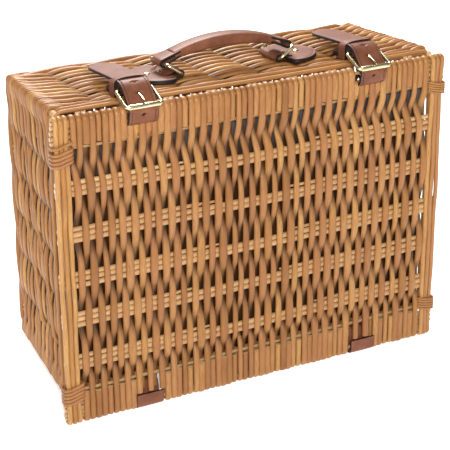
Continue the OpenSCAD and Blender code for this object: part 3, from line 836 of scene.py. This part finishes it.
def build_stakes():
    """Pairs of stakes in each wall, and a post in each corner."""
    rng = np.random.default_rng(31)
    for wall in WALLS:
        stakes = Bundle()
        full = wall_frame(wall, MOUTH_Y)[3]
        for distance in stakes_along(wall, MOUTH_Y):
            for pair in PAIR:
                path = []
                for y in samples(MOUTH_Y + 4, DEPTH - 4, 9.0):
                    (x0, z0), (dx, dz), _, length = wall_frame(wall, y)
                    s = distance - (full - length) / 2 + pair
                    path.append((x0 + dx * s, y, z0 + dz * s))
                stakes.rod(path, PAIR_R * rng.uniform(0.9, 1.05), (dx, 0, dz), rng.uniform(0, 1))
        stakes.make(wall + "_wall_stake_pairs", STICK, "willow_sticks", "basket", [wall + "_wall_stakes"])
    for level in ("front", "rear"):
        for side, across in (("left", -1), ("right", 1)):
            post = Bundle()
            ys = samples(MOUTH_Y + 1, DEPTH - 4, 9.0)
            z = front_z(ys) - WALL_CORE if level == "front" else rear_z(ys) + WALL_CORE
            post.rod(np.column_stack([across * (half_width(ys) - WALL_CORE), ys, z]), POST_R, X_DIR,
                     rng.uniform(0, 1), sides=12)
            post.make(f"corner_post_{level}_{side}", STICK, "willow_sticks", "basket",
                      [f"post_{level}_{side}"])


def frame_loop(y, count, corner):
    """Closed path round the body's outer faces at a depth, its normals, and the turn at each point."""
    half = half_width(y)
    loop = rounded_loop((-half, rear_z(y)), (half, front_z(y)), corner, count)
    tangent = unit(np.roll(loop, -1, 0) - np.roll(loop, 1, 0))
    normal = np.stack([tangent[:, 1], -tangent[:, 0]], 1)
    return loop, normal, np.linspace(0, TURN, count, endpoint=False)


def inset_path(loop, normal, inset, y):
    """The loop moved inwards, at the depths y."""
    flat = loop - normal * inset[:, None]
    return np.column_stack([flat[:, 0], y, flat[:, 1]])


def build_mouth():
    """Four rods laid round the mouth, each crossing its neighbours at a low slant."""
    rng = np.random.default_rng(37)
    border = Bundle()
    loop, normal, turn = frame_loop(MOUTH_Y + 6, 420, 12.0)
    for k in range(4):
        phase = k * math.pi / 2 + 0.8
        y = (MOUTH_Y + 3.6 + MOUTH_ROD_PITCH * k + 1.3 * np.sin(2 * turn + phase)
             + 0.5 * np.sin(5 * turn + 2 * phase))
        inset = 3.0 + 2.2 * (k % 2) - 0.8 * np.cos(3 * turn + phase)
        size = MOUTH_ROD_R + 0.2 * np.sin(turn * 2 + k)
        border.rod(inset_path(loop, normal, inset, y), size, Y_DIR, rng.uniform(0.4, 0.9), closed=True,
                   sides=10)
    border.make("mouth_border_rods", ROD, "willow", "basket", ["mouth_border"])


def build_base_border():
    """Three thick rods laid round each other along the edge of the base."""
    border = Bundle()
    loop, normal, turn = frame_loop(DEPTH, 460, 16.0)
    for k in range(3):
        angle = 7 * turn + k * TURN / 3
        inset = 7.0 + BASE_TWIST * np.cos(angle)
        path = inset_path(loop, normal, inset, DEPTH - 7.2 + BASE_TWIST * np.sin(angle))
        size = BASE_ROD_R + 0.2 * np.sin(3 * turn + k)
        border.rod(path, size, Y_DIR, 0.05 + 0.15 * k, flat=0.97, closed=True, sides=10)
    border.make("base_border_rods", ROD, "willow", "basket", ["base_border"])


def build_base():
    """The flat weave of the base, and the pairs of sticks in it."""
    rng = np.random.default_rng(41)
    half, low, high = half_width(DEPTH) - 7, rear_z(DEPTH) + 7, front_z(DEPTH) - 7
    middle = DEPTH - 8.0
    rows = list(np.linspace(low, high, 8)[1:-1])
    weave = Bundle()
    for i, x in enumerate(np.linspace(-half + 4, half - 4, int(2 * half / PITCH))):
        z = samples(low, high)
        wave = (1 if i % 2 else -1) * crossing_wave(z, [low, *rows, high])
        hold = ends_ease(z, low, high, 18)
        y = middle + 4.2 * bulge(wave, 0.75) * hold
        path_x = x + (1.4 * wave + wander(z, rng, 0.7, 150.0)) * hold
        weave.rod(np.column_stack([path_x, y, z]), rod_radius(len(z), rng), X_DIR, rng.uniform(0, 1),
                  flat=ROD_FLAT)
    weave.make("base_rods", ROD, "willow", "basket", ["base_weave"])
    sticks = Bundle()
    x = samples(-half, half, 8.0)
    for z in rows:
        for pair in PAIR:
            path = np.column_stack([x, np.full(len(x), middle), z + pair + wander(x, rng, 0.4, 200.0)])
            sticks.rod(path, PAIR_R, Y_DIR, rng.uniform(0.3, 1))
    sticks.make("base_stick_pairs", STICK, "willow_sticks", "basket", ["base_sticks"])


build_walls()
build_stakes()
build_mouth()
build_base_border()
build_base()

# ---------------------------------------------------------------- leather and brass helpers
WIRE_R = 1.9                    # half the thickness of the brass wire
EDGE_BAND = 0.9                 # width of the rounded, black painted edge of the leather
CREASE = 2.7                    # distance of the pressed line from the edge
CREASE_DEPTH = 0.3
FRONT_SLOPE = math.atan2(front_z(MOUTH_Y) - front_z(DEPTH), DEPTH - MOUTH_Y)
RING_BOX = lid_box("ring_right")
HANDLE_X = sum(lid_box("handle_leather")[i][0] for i in (0, 1)) / 2
RING_FOOT_X = RING_BOX[0][0] + WIRE_R - HANDLE_X
RING_HEAD_X = RING_BOX[1][0] - WIRE_R - HANDLE_X
RING_FOOT_W, RING_HEAD_W = 4.7, 16.2
RING_HALF = (RING_BOX[1][1] - RING_BOX[0][1]) / 2 - WIRE_R
HANDLE_Y = (RING_BOX[0][1] + RING_BOX[1][1]) / 2 - (RING_FOOT_W + RING_HEAD_W) / 2 * math.sin(FRONT_SLOPE)


def on_wall(points):
    """Points (x, v, w) of the handle: x from its middle, v into the depth, w out of the front wall."""
    points = np.asarray(points, float)
    cosine, sine = math.cos(FRONT_SLOPE), math.sin(FRONT_SLOPE)
    y = HANDLE_Y + points[:, 1] * cosine + points[:, 2] * sine
    z = front_z(HANDLE_Y) - points[:, 1] * sine + points[:, 2] * cosine
    return np.column_stack([HANDLE_X + points[:, 0], y, z])


HANDLE_ORIGIN = on_wall([(0, 0, 0)])[0]
ALONG_WALL = on_wall([(0, 1, 0)])[0] - HANDLE_ORIGIN    # the handle's v direction in lid coordinates


def smooth_path(points, step):
    """Catmull-Rom curve through the points, evenly stepped."""
    p = np.asarray(points, float)
    p = np.concatenate([[2 * p[0] - p[1]], p, [2 * p[-1] - p[-2]]])
    fine = []
    for i in range(1, len(p) - 2):
        t = np.linspace(0, 1, 24, endpoint=False)[:, None]
        a, b, c, d = p[i - 1], p[i], p[i + 1], p[i + 2]
        fine.append(0.5 * (2 * b + (c - a) * t + (2 * a - 5 * b + 4 * c - d) * t ** 2
                           + (3 * b - a - 3 * c + d) * t ** 3))
    fine = np.concatenate([*fine, p[-2:-1]])
    length = distances(fine)
    return sampled(fine, length, np.linspace(0, length[-1], max(3, int(length[-1] / step))))


def strip_section(half, thick, creased):
    """Outline (u, v, painted) of a strap cut across, with rounded edges and pressed lines on its face."""
    t = thick / 2
    inset = min(1.0, half / 6)
    crease = CREASE * inset
    face = [(half - EDGE_BAND * inset, t, 0.0)]
    if creased:
        face += [(half - crease + 0.6 * inset, t, 0), (half - crease, t - CREASE_DEPTH * inset, 0),
                 (half - crease - 0.6 * inset, t, 0), (half - crease - 1.6 * inset, t + 0.03, 0)]
    face += [(half * 0.4, t + 0.12, 0), (0, t + 0.15, 0)]
    edge = [(half, -t * 0.45, 1.0), (half, t * 0.45, 1.0), (half - 0.3 * inset, t * 0.85, 1.0)]
    under = [(0, -t, 0.0), (half - EDGE_BAND * inset, -t, 0.0), (half - 0.3 * inset, -t * 0.85, 1.0)]
    right = under + edge + face
    left = [(-u, v, e) for u, v, e in right[::-1] if u]
    return right + left


def leather_strip(name, path, across, half, thick, body, replaces=(), creased=True):
    """A leather strap that follows a path; across is the direction of its width, half its half width."""
    path = np.asarray(path, float)
    across = np.asarray(across, float) / np.linalg.norm(across)
    normal = np.cross(across, unit(np.gradient(path, axis=0)))
    half = np.broadcast_to(half, (len(path),))
    sections = [strip_section(h, thick, creased) for h in half]
    size = len(sections[0])
    verts, edges = [], []
    for point, out, section in zip(path, normal, sections):
        verts += [point + u * across + v * out for u, v, _ in section]
        edges += [painted for _, _, painted in section]
    faces = tube_faces(0, len(path), size)
    base = len(verts)
    verts += verts[:size] + verts[-size:]
    edges += [1.0] * (2 * size)
    faces.append(tuple(base + j for j in range(size - 1, -1, -1)))
    faces.append(tuple(base + size + j for j in range(size)))
    return new_object(name, verts, faces, {"edge": edges}, LEATHER, body, replaces)


def yz_path(x, points, step):
    return smooth_path([(x, y, z) for y, z in points], step)


def round_tip(path, half, length):
    """Half widths along a path whose last stretch, of this length, ends in a round tip."""
    steps = np.linalg.norm(np.diff(path, axis=0), axis=1)
    left = np.concatenate([np.cumsum(steps[::-1])[::-1], [0.0]])
    k = np.clip(left / length, 0.0008, 1)
    return half * np.sqrt(1 - (1 - k) ** 2)


def fine_tip(path, length):
    """Adds points in the last stretch of a path, so that a round tip is smooth."""
    at = distances(path)
    angle = np.linspace(0, math.pi / 2, 15)[1:]
    last = at[-1] - length * (1 - np.sin(angle))
    return sampled(path, at, np.concatenate([at[at < at[-1] - length], last]))


def wire(name, path, radius, body, node_name, closed, across, sides=14):
    bundle = Bundle()
    bundle.rod(path, radius, across, 0.5, sides=sides, closed=closed)
    bundle.make(name, BRASS, "brass", body, [node_name], plain=True)


def rounded_ring(corner_a, corner_b, half, bend, across):
    """Closed rounded rectangle between two parallel bars through corner_a and corner_b."""
    a, b = np.asarray(corner_a, float), np.asarray(corner_b, float)
    depth = np.linalg.norm(b - a)
    reach = (b - a) / depth
    across = np.asarray(across, float)
    loop = rounded_loop((-half, 0.0), (half, depth), bend, 96)
    return np.array([a + u * across + v * reach for u, v in loop])


def mend(mesh, join):
    """Turns all faces outwards, after joining points that lie on each other if join is set."""
    work = bmesh.new()
    work.from_mesh(mesh)
    if join:
        bmesh.ops.remove_doubles(work, verts=work.verts, dist=1e-7)
    bmesh.ops.recalc_face_normals(work, faces=work.faces)
    work.to_mesh(mesh)
    work.free()


# ---------------------------------------------------------------- closing straps and buckles
STRAP_LINE = [(8, 320.5), (3, 323.5), (-1.4, 328), (-2.2, 333), (-3.2, 338), (-0.5, 342.3), (6.5, 349.6),
              (13.5, 356.6), (20, 360.4), (28, 361.2), (36, 360.6), (60, 358.5), (90, 355.5), (112, 353.5)]
STRAP_THICK = 3.2
REAR_BAR = (20.5, 353.5)
FRONT_BAR = (-5.5, 343.5)
PRONG_TIP = (-8.2, 347.6)
HOLES = (333.0, 351.0, 359.9)   # heights of the punched holes' centres
HOLE_R = 1.9
BUCKLE_HALF = 19.5
ROLLER_R = 2.8
PRONG_R = 1.35
THREAD_R = 0.42
STITCH_PITCH = 3.5
STITCH_HALF = 1.25
PRONG_BOW = 1.1                 # how far the prong bows up between its bar and its tip


def path_at_height(path, height):
    """First point of a path at a height, and its direction there."""
    i = int(np.argmax(path[:, 2] >= height))
    direction = path[i + 1] - path[i - 1]
    return path[i], direction / np.linalg.norm(direction)


def punch(obj, path, heights):
    """Cuts round holes through a strap."""
    for height in heights:
        point, direction = path_at_height(path, height)
        normal = np.cross(X_DIR, direction)
        tool = Bundle()
        tool.rod([point - 5 * normal, point + 5 * normal], HOLE_R, X_DIR, 0.5, sides=20)
        cutter = bpy.data.meshes.new("cutter")
        cutter.from_pydata(place(np.concatenate(tool.verts)).tolist(), [], tool.faces)
        cutter_obj = bpy.data.objects.new("cutter", cutter)
        bpy.context.scene.collection.objects.link(cutter_obj)
        mend(cutter, True)
        change = obj.modifiers.new("hole", "BOOLEAN")
        change.operation = "DIFFERENCE"
        change.object = cutter_obj
        change.solver = "EXACT"
        apply_modifiers(obj)
        bpy.data.objects.remove(cutter_obj)


def apply_modifiers(obj):
    graph = bpy.context.evaluated_depsgraph_get()
    fresh = bpy.data.meshes.new_from_object(obj.evaluated_get(graph))
    obj.modifiers.clear()
    obj.data = fresh


def stitches(name, path, offset, across, start, end, lift, body):
    """Short thread stitches along both edges of a strap."""
    at = distances(path)
    normal = np.cross(across, unit(np.gradient(path, axis=0)))
    thread = Bundle()
    for sign in (-1, 1):
        for middle in np.arange(start, end, STITCH_PITCH):
            points = []
            for k in np.linspace(-STITCH_HALF, STITCH_HALF, 6):
                rise = lift + 0.25 - 0.5 * (k / STITCH_HALF) ** 2
                points.append(sampled(path, at, middle + k) + rise * sampled(normal, at, middle + k)
                              + sign * offset * across)
            thread.rod(points, THREAD_R, across, 0.5, sides=6)
    thread.make(name, THREAD, "leather", body, plain=True)


def build_strap(side):
    """Closing strap with its punched holes, and stitches over the stretch inside the buckle."""
    x = STRAP_X[side]
    half = STRAP_W / 2
    path = fine_tip(yz_path(x, STRAP_LINE, 1.3), half)
    name = "strap_" + side
    widths = round_tip(path, half, half)
    strap = leather_strip("strap_leather_" + side, path, X_DIR, widths, STRAP_THICK, None)
    mend(strap.data, True)
    punch(strap, path, HOLES)
    for polygon in strap.data.polygons:
        polygon.use_smooth = True
    low, high = (Vector(place((x, 0, z))[0]) for z in (322, 332))
    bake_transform(strap, "lid", name, start=low, end=high)
    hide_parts(name)
    at = distances(path)
    start, end = (at[np.argmax(path[:, 1] > y)] for y in (7, 25))
    stitches("strap_stitches_" + side, path, half - CREASE - 0.6, X_DIR, start, end, STRAP_THICK / 2, name)


def build_chape(side):
    """Folded leather that holds the buckle: two loops round the rear bar, and a double tail."""
    x = STRAP_X[side]
    thick = 2.2
    loop_r = WIRE_R + 0.15 + thick / 2
    loop = arc(REAR_BAR, loop_r, 84, 274, 12)
    back = 34.0
    upper = (back, front_z(back) + 1.5 * thick + 0.5)
    lower = (back, front_z(back) + 0.5 * thick + 0.3)
    path = yz_path(0.0, [upper, (28, upper[1] + 1.4), *loop, lower], 1.2)
    for sign, part in ((-1, "a"), (1, "b")):
        leather_strip(f"chape_loop_{side}_{part}", path + (x + sign * 9.2) * X_DIR, -X_DIR, 5.8, thick,
                      "basket", creased=False)
    half, tip = 15.0, 9.0
    tail = fine_tip(yz_path(x, [(y, front_z(y) + thick + 0.4) for y in (31, 40, 50, 64)], 1.5), tip)
    leather_strip("chape_tail_" + side, tail, X_DIR, round_tip(tail, half, tip), 2 * thick, "basket",
                  ["chape_" + side])


def keeper_section(x, reach, foot, crown):
    """Line (x, z) across the keeper: up from one foot, over the strap, down to the other foot."""
    shoulder = crown - 5.2
    t = np.radians(np.linspace(180, 0, 19))
    rise = (crown - shoulder) * np.sin(t) ** 0.8
    arch_line = np.stack([x + reach * bulge(np.cos(t), 0.75), shoulder + rise], 1)
    left = np.column_stack([np.full(6, x - reach), np.linspace(foot, shoulder, 7)[:-1]])
    right = np.column_stack([np.full(6, x + reach), np.linspace(shoulder, foot, 7)[1:]])
    return np.concatenate([left, arch_line, right])


def build_keeper(side):
    """Arched leather loop: feet on the wall, crown over the strap, higher at the front than at the back."""
    low, high = lid_box("keeper_" + side)
    reach = (high[0] - low[0]) / 2 - 0.8
    thick, depth, rows = 1.9, 13.0, 9
    ys = [low[1] + depth * (i / (rows - 1)) for i in range(rows)]
    lines = [keeper_section(STRAP_X[side], reach, front_z(y) + 0.3, high[2] - 0.6 - 1.8 * (i / (rows - 1)))
             for i, y in enumerate(ys)]
    verts = []
    count = len(lines[0])
    for layer in (-1, 1):
        for y, line in zip(ys, lines):
            tangent = unit(np.gradient(line, axis=0))
            normal = np.stack([-tangent[:, 1], tangent[:, 0]], 1)
            verts += [(px, y, pz) for px, pz in line + normal * (layer * thick / 2)]
    faces = double_sheet_faces(rows, count)
    grid = rows * count
    edge = [0.0] * (2 * grid)
    rims = ([[i * count + j for j in range(count)] for i in (0, rows - 1)]
            + [[i * count + j for i in range(rows)] for j in (0, count - 1)])
    for rim in rims:
        base = len(verts)
        for point in rim:
            verts += [verts[point], verts[grid + point]]
            edge += [1.0, 1.0]
        for j in range(len(rim) - 1):
            faces.append((base + 2 * j, base + 2 * j + 1, base + 2 * j + 3, base + 2 * j + 2))
    new_object("keeper_leather_" + side, verts, faces, {"edge": edge}, LEATHER, "basket",
               ["keeper_" + side])


def build_buckle(side):
    """Wire frame, the roller on its front bar, and the prong round its rear bar."""
    x = STRAP_X[side]
    ring = rounded_ring((x, *REAR_BAR), (x, *FRONT_BAR), BUCKLE_HALF, 3.2, X_DIR)
    wire("buckle_wire_" + side, ring, WIRE_R, "buckle_" + side, "buckle_frame_" + side, True, X_DIR)

    half = BUCKLE_HALF - WIRE_R - 0.5
    along = np.array([-half, -half + 0.15, -half + 0.5, half - 0.5, half - 0.15, half])
    path = np.column_stack([x + along, np.full(6, FRONT_BAR[0]), np.full(6, FRONT_BAR[1])])
    size = ROLLER_R * np.array([0.86, 0.95, 1.0, 1.0, 0.95, 0.86])
    wire("roller_tube_" + side, path, size, "roller_" + side, "roller_" + side, False, Z_DIR, sides=28)

    start, tip = np.array([x, *REAR_BAR]), np.array([x, *PRONG_TIP])
    loop = at_x(x, arc(REAR_BAR, WIRE_R + 1.15, -150, 150, 16))
    bowed = [start + (tip - start) * k + PRONG_BOW * math.sin(math.pi * k) * Z_DIR
             for k in (0.3, 0.5, 0.75, 0.93, 1)]
    path = smooth_path([*loop, *bowed], 0.8)
    size = np.full(len(path), PRONG_R)
    size[-4:] = (1.25, 1.1, 0.85, 0.5)
    wire("prong_wire_" + side, path, size, "prong_" + side, "prong_" + side, False, X_DIR)


# ---------------------------------------------------------------- handle
GRIP_HALF = 60.0
GRIP_RISE = 31.0
GRIP_SAG = 9.0
GRIP_WIDE = 23.0
GRIP_TALL = 13.0
END_SHRINK = 0.9                # rounds off the grip's end faces
GRIP_ARC = (GRIP_HALF ** 2 + GRIP_SAG ** 2) / (2 * GRIP_SAG)


def arch(x):
    return GRIP_RISE - GRIP_ARC + math.sqrt(GRIP_ARC ** 2 - x * x)


def grip_height(x):
    return GRIP_TALL - 4.0 * (abs(x) / GRIP_HALF) ** 2


def build_grip():
    """Padded grip: leather over a filler, flat below and crowned on top."""
    verts = []
    xs = np.concatenate([[-GRIP_HALF], np.linspace(-GRIP_HALF + 0.6, GRIP_HALF - 0.6, 81), [GRIP_HALF]])
    sides = 36
    for x in xs:
        shrink = END_SHRINK if abs(x) == GRIP_HALF else 0
        height = grip_height(x) - shrink
        width = GRIP_WIDE - 1.5 * (abs(x) / GRIP_HALF) ** 2 - shrink
        tilt = math.atan(-x / math.sqrt(GRIP_ARC ** 2 - x * x))
        for j in range(sides):
            u, v = math.cos(TURN * j / sides), math.sin(TURN * j / sides)
            u = bulge(u, 0.42) * width / 2
            v = bulge(v, 0.42 if v < 0 else 0.6) * height / 2
            verts.append((x - v * math.sin(tilt), u, arch(x) + v * math.cos(tilt)))
    faces = [(f[0], *f[:0:-1]) for f in tube_faces(0, len(xs), sides)]
    edge = [0.0] * len(verts)
    for first, order in ((0, 1), (len(verts) - sides, -1)):
        base = len(verts)
        verts += verts[first:first + sides]
        edge += [1.0] * sides
        faces.append(tuple(base + j for j in range(sides))[::order])
    grip = new_object("grip_leather", on_wall(verts), faces, {"edge": edge}, LEATHER, "handle",
                      ["handle_leather"])
    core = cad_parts["handle_core"].data.materials
    core.clear()
    core.append(core_material())


def build_grip_seam():
    """Stitches under the grip, where the cover meets."""
    xs = np.linspace(-55, 55, 60)
    under = [arch(x) - grip_height(x) / 2 - 0.2 for x in xs]
    thread = Bundle()
    for start in np.arange(-54, 54, 4.2):
        points = [(start + k, 0.0, np.interp(start + k, xs, under) + 0.1) for k in (0, 0.9, 1.8, 2.7)]
        thread.rod(on_wall(points), 0.45, Y_DIR, 0.5, sides=6)
    thread.make("grip_stitches", THREAD, "leather", "handle", plain=True)


def handle_strip(name, sign, line, step, half, thick, body):
    """A strap in the plane along the handle; line holds (x, w) for the handle's right side."""
    path = smooth_path([(sign * x, 0.0, w) for x, w in line], step)
    leather_strip(name, on_wall(path), -sign * ALONG_WALL, half, thick, body, creased=False)


def build_end_strap(name, sign):
    """Flat strap out of the grip's end, once round the ring's head bar."""
    thick = 2.6
    inner, outer = GRIP_HALF - 6, GRIP_HALF + 3
    loop = arc((RING_HEAD_X, RING_HEAD_W), WIRE_R + 0.1 + thick / 2, 70, -120, 12)
    line = [(inner, arch(inner) + 2.4), (outer, arch(GRIP_HALF) + 1.2), *loop,
            (outer, arch(GRIP_HALF) - 4.0), (inner, arch(inner) - 2.2)]
    handle_strip("end_strap_" + name, sign, line, 1.2, 11.2, thick, "handle")


RIVET_R, RIVET_RISE = 3.7, 1.7  # radius and height of a rivet's head
RIVET_X = (73.0, 89.0)          # distances of each tab's two rivets from the handle's middle
RING_TRAVEL = 5.6               # how far the ring's foot can slide outwards in the tab's loop
TAB_SHAPE = [(66.6, 19), (66.9, 22), (67.6, 27), (69, 31), (72, 33.6), (77, 34.8), (86, 33.4), (95, 28.5),
             (103, 20.5), (108.5, 11.5), (111.4, 4.5)]


TAB_THICK = 4.6
# rings of the tab's outline from below: how far inside it, how high, and whether the edge paint covers it
TAB_LEVELS = [(0.6, 0.0, 0), (0.0, 0.5, 1), (0.0, 2.2, 1), (0.12, 2.35, 1), (0.0, 2.5, 1),
              (0.0, TAB_THICK - 0.5, 1), (0.35, TAB_THICK - 0.1, 1), (1.0, TAB_THICK, 0),
              (2.3, TAB_THICK, 0), (2.9, TAB_THICK - 0.35, 0), (3.5, TAB_THICK, 0),
              (5.5, TAB_THICK + 0.1, 0)]


def build_tab(name, sign):
    """Shield-shaped double leather."""
    outline = smooth_path([(x, v, 0) for x, v in TAB_SHAPE], 1.6)[:, :2]
    outline = np.concatenate([outline, (outline * (1, -1))[::-1]])
    tangent = unit(np.roll(outline, -1, 0) - np.roll(outline, 1, 0))
    outward = np.stack([-tangent[:, 1], tangent[:, 0]], 1)
    verts, edge = [], []
    count = len(outline)
    for inset, height, painted in TAB_LEVELS:
        verts += [(sign * x, v, height + 0.3) for x, v in outline - outward * inset]
        edge += [float(painted)] * count
    faces = tube_faces(0, len(TAB_LEVELS), count)
    faces.append(tuple(len(verts) - count + j for j in range(count)))
    faces.append(tuple(range(count - 1, -1, -1)))
    if sign > 0:
        faces = [f[::-1] for f in faces]
    tab = new_object("tab_leather_" + name, on_wall(verts), faces, {"edge": edge}, LEATHER,
                     "basket", ["handle_tab_" + name])
    mend(tab.data, False)


def build_tab_roll(name, sign):
    """Long open loop of the tab's leather that holds the ring's foot bar and lets it slide."""
    ply = 2.0
    reach = WIRE_R + 0.25 + ply / 2
    top, bottom = RING_FOOT_W + reach, RING_FOOT_W - reach
    end = RING_FOOT_X + RING_TRAVEL
    loop = arc((RING_FOOT_X, RING_FOOT_W), reach, 90, 270, 14)
    line = [(end + 12, TAB_THICK - 0.5), (end + 7, TAB_THICK + 1.0), (end + 2.5, top - 0.2), (end - 2, top),
            *loop, (end, bottom), (end + 5, bottom)]
    handle_strip("tab_roll_" + name, sign, line, 1.0, 19.0, ply, "basket")


def build_rivets():
    """Domed heads of the four rivets, on the handle tabs."""
    verts, faces = [], []
    sides, rings = 28, 7
    for sign in (-1, 1):
        for x in RIVET_X:
            base = len(verts)
            for i in range(rings):
                angle = math.radians(90 * i / (rings - 1))
                radius, height = max(RIVET_R * math.cos(angle), 0.02), RIVET_RISE * math.sin(angle)
                for turn in (TURN * j / sides for j in range(sides)):
                    along, across = radius * math.cos(turn), radius * math.sin(turn)
                    verts.append((sign * x + along, across, 5.0 + height))
            faces += tube_faces(base, rings, sides)
            faces.append(tuple(len(verts) - sides + j for j in range(sides)))
            faces.append(tuple(base + j for j in range(sides - 1, -1, -1)))
    new_object("rivet_heads", on_wall(verts), faces, {}, BRASS, "basket", ["tab_rivets"])


def build_ring(name, sign):
    a, b = on_wall([(sign * RING_FOOT_X, 0, RING_FOOT_W), (sign * RING_HEAD_X, 0, RING_HEAD_W)])
    ring = rounded_ring(a, b, RING_HALF, 4.0, ALONG_WALL)
    wire("ring_wire_" + name, ring, WIRE_R, "ring_" + name, "ring_" + name, True, ALONG_WALL)


# ---------------------------------------------------------------- hinge leathers and lining
def build_hinge(side):
    """Leather round the lower border stick, and on under the rear wall."""
    low, high = lid_box("hinge_leather_" + side)
    x = (low[0] + high[0]) / 2
    thick = 2.2
    wrap = EDGE - thick / 2 + 0.1
    under = [(y, rear_z(y) - 1.6) for y in (34, 46, high[1])]
    bend = arc(LOW_CENTRE, wrap, 180, 360, 14)
    line = [(0.7, 17.5), (0.9, 12), *bend, (EDGE + wrap + 0.1, 14), (14.4, 20), (16.6, 24.0),
            (22, rear_z(22) - 1.7), *under]
    path = yz_path(x, line, 1.3)
    piece = leather_strip("hinge_strap_" + side, path, -X_DIR, HINGE_HALF - 0.7, thick, None)
    start, end = (Vector(place((x, y, 26))[0]) for y in (14.4, 19.0))
    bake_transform(piece, "lid", "basket", start=start, end=end)
    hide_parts("hinge_leather_" + side)


PAINTED_SHADE_BELOW = 262.0             # height at which the lining's painted brown shade begins to fade
PAINTED_SHADE_EASE = 26.0               # height over which it fades


def build_lining():
    """Cloth stretched over the back of the lid: it dips a little where the rods stand away from it."""
    low, high = lid_box("lid_lining")
    rng = np.random.default_rng(53)
    columns, rows = 72, 48
    xs, zs = np.linspace(low[0], high[0], columns), np.linspace(low[2], high[2], rows)
    waves = [np.outer(wander(zs, rng, 1.0, 90.0), wander(xs, rng, 1.0, 120.0)) for _ in range(3)]
    dips = np.sum(waves, 0) / 3
    verts = []
    for side_y in (low[1] + 0.1, high[1] - 0.1):
        for i, z in enumerate(zs):
            verts += [(x, side_y + 0.1 * dips[i, j], z) for j, x in enumerate(xs)]
    grid = rows * columns
    faces = double_sheet_faces(rows, columns)
    around = (list(range(columns)) + [i * columns + columns - 1 for i in range(1, rows)]
              + [(rows - 1) * columns + j for j in range(columns - 2, -1, -1)]
              + [i * columns for i in range(rows - 2, 0, -1)])
    for a, b in zip(around, around[1:] + around[:1]):
        faces.append((a, grid + a, grid + b, b))
    # the cloth's front is painted brown below the top bay as painted shade, to match the photograph's dark
    # gaps
    front = np.clip((np.repeat(zs, columns) - PAINTED_SHADE_BELOW) / PAINTED_SHADE_EASE, 0, 1)
    unshaded = np.concatenate([front, np.ones(grid)])
    lining = new_object("lid_lining_cloth", verts, faces, {"unshaded": unshaded}, CLOTH, "lid",
                        ["lid_lining"])


build_lining()
for strap_side in ("left", "right"):
    build_strap(strap_side)
    build_chape(strap_side)
    build_keeper(strap_side)
    build_buckle(strap_side)
    build_hinge(strap_side)
build_grip()
build_grip_seam()
for tab_name, tab_sign in (("left", -1), ("right", 1)):
    build_end_strap(tab_name, tab_sign)
for tab_name, tab_sign in (("left", -1), ("right", 1)):
    build_tab(tab_name, tab_sign)
    build_tab_roll(tab_name, tab_sign)
    build_ring(tab_name, tab_sign)
build_rivets()

# ---------------------------------------------------------------- stage, light and camera
CAMERA_AT = (-709.5, -1298.1, 822.2)    # in lid coordinates
CAMERA_AIM = (-43.0, 0.0, 195.0)
CAMERA_ROLL = -0.006
CAMERA_LENS = 120.8


def floor_material():
    """Matt white paper. It glows a little, to come near the photograph's white ground."""
    material, tree, shader = new_material("floor")
    grey = 0.93
    cloud = noise(tree, object_place(tree), 1.5)
    set_colour(tree, shader, ramp(tree, cloud, [(0.3, (0.985 * grey,) * 3), (0.7, (grey,) * 3)]))
    set_values(shader, Roughness=0.8, Emission_Color=(grey, grey, grey, 1.0), Emission_Strength=0.5)
    return material


def build_stage():
    floor_mesh = bpy.data.meshes.new("floor")
    span = 6.0
    corners = [(x, y, 0.0) for x, y in ((-span, -span), (span, -span), (span, span), (-span, span))]
    floor_mesh.from_pydata(corners, [], [(0, 1, 2, 3)])
    floor = bpy.data.objects.new("floor", floor_mesh)
    bpy.context.scene.collection.objects.link(floor)
    floor_mesh.materials.append(floor_material())
    world = bpy.data.worlds.new("studio")
    world.use_nodes = True
    sky = world.node_tree.nodes["Background"]
    sky.inputs[0].default_value = (1.0, 1.0, 1.0, 1.0)
    sky.inputs[1].default_value = 0.2
    bpy.context.scene.world = world


def add_light(name, place_at, aim, size, power, colour=(1.0, 1.0, 1.0)):
    lamp = bpy.data.lights.new(name, "AREA")
    lamp.size = size
    lamp.energy = power
    lamp.color = colour
    obj = bpy.data.objects.new(name, lamp)
    obj.location = place_at
    obj.rotation_euler = (Vector(aim) - Vector(place_at)).to_track_quat("-Z", "Y").to_euler()
    bpy.context.scene.collection.objects.link(obj)


def build_lights():
    """Three area lamps: metres and watts, in the row frame."""
    middle = (0.0, 0.0, 0.18)
    add_light("key", (-0.85, -1.6, 1.5), middle, 0.6, 46.0, (1.0, 0.985, 0.96))
    add_light("back", (0.3, 1.4, 1.4), middle, 0.8, 60.0)
    add_light("fill", (1.2, -1.6, 0.7), middle, 1.2, 4.0)


def build_camera():
    camera = bpy.data.cameras.new("camera")
    camera.lens = CAMERA_LENS
    camera.sensor_width = 36.0
    camera.clip_start = 0.01
    obj = bpy.data.objects.new("camera", camera)
    at, aim = (Vector(place(p)[0]) for p in (CAMERA_AT, CAMERA_AIM))
    back = (at - aim).normalized()
    right = Vector(UP).cross(back).normalized()
    right = Matrix.Rotation(CAMERA_ROLL, 3, back) @ right
    up = back.cross(right)
    rotation = Matrix((right, up, back)).transposed()
    obj.matrix_world = Matrix.Translation(at) @ rotation.to_4x4()
    bpy.context.scene.collection.objects.link(obj)
    bpy.context.scene.camera = obj


bpy.context.scene.view_settings.view_transform = "Standard"
build_stage()
build_lights()
build_camera()
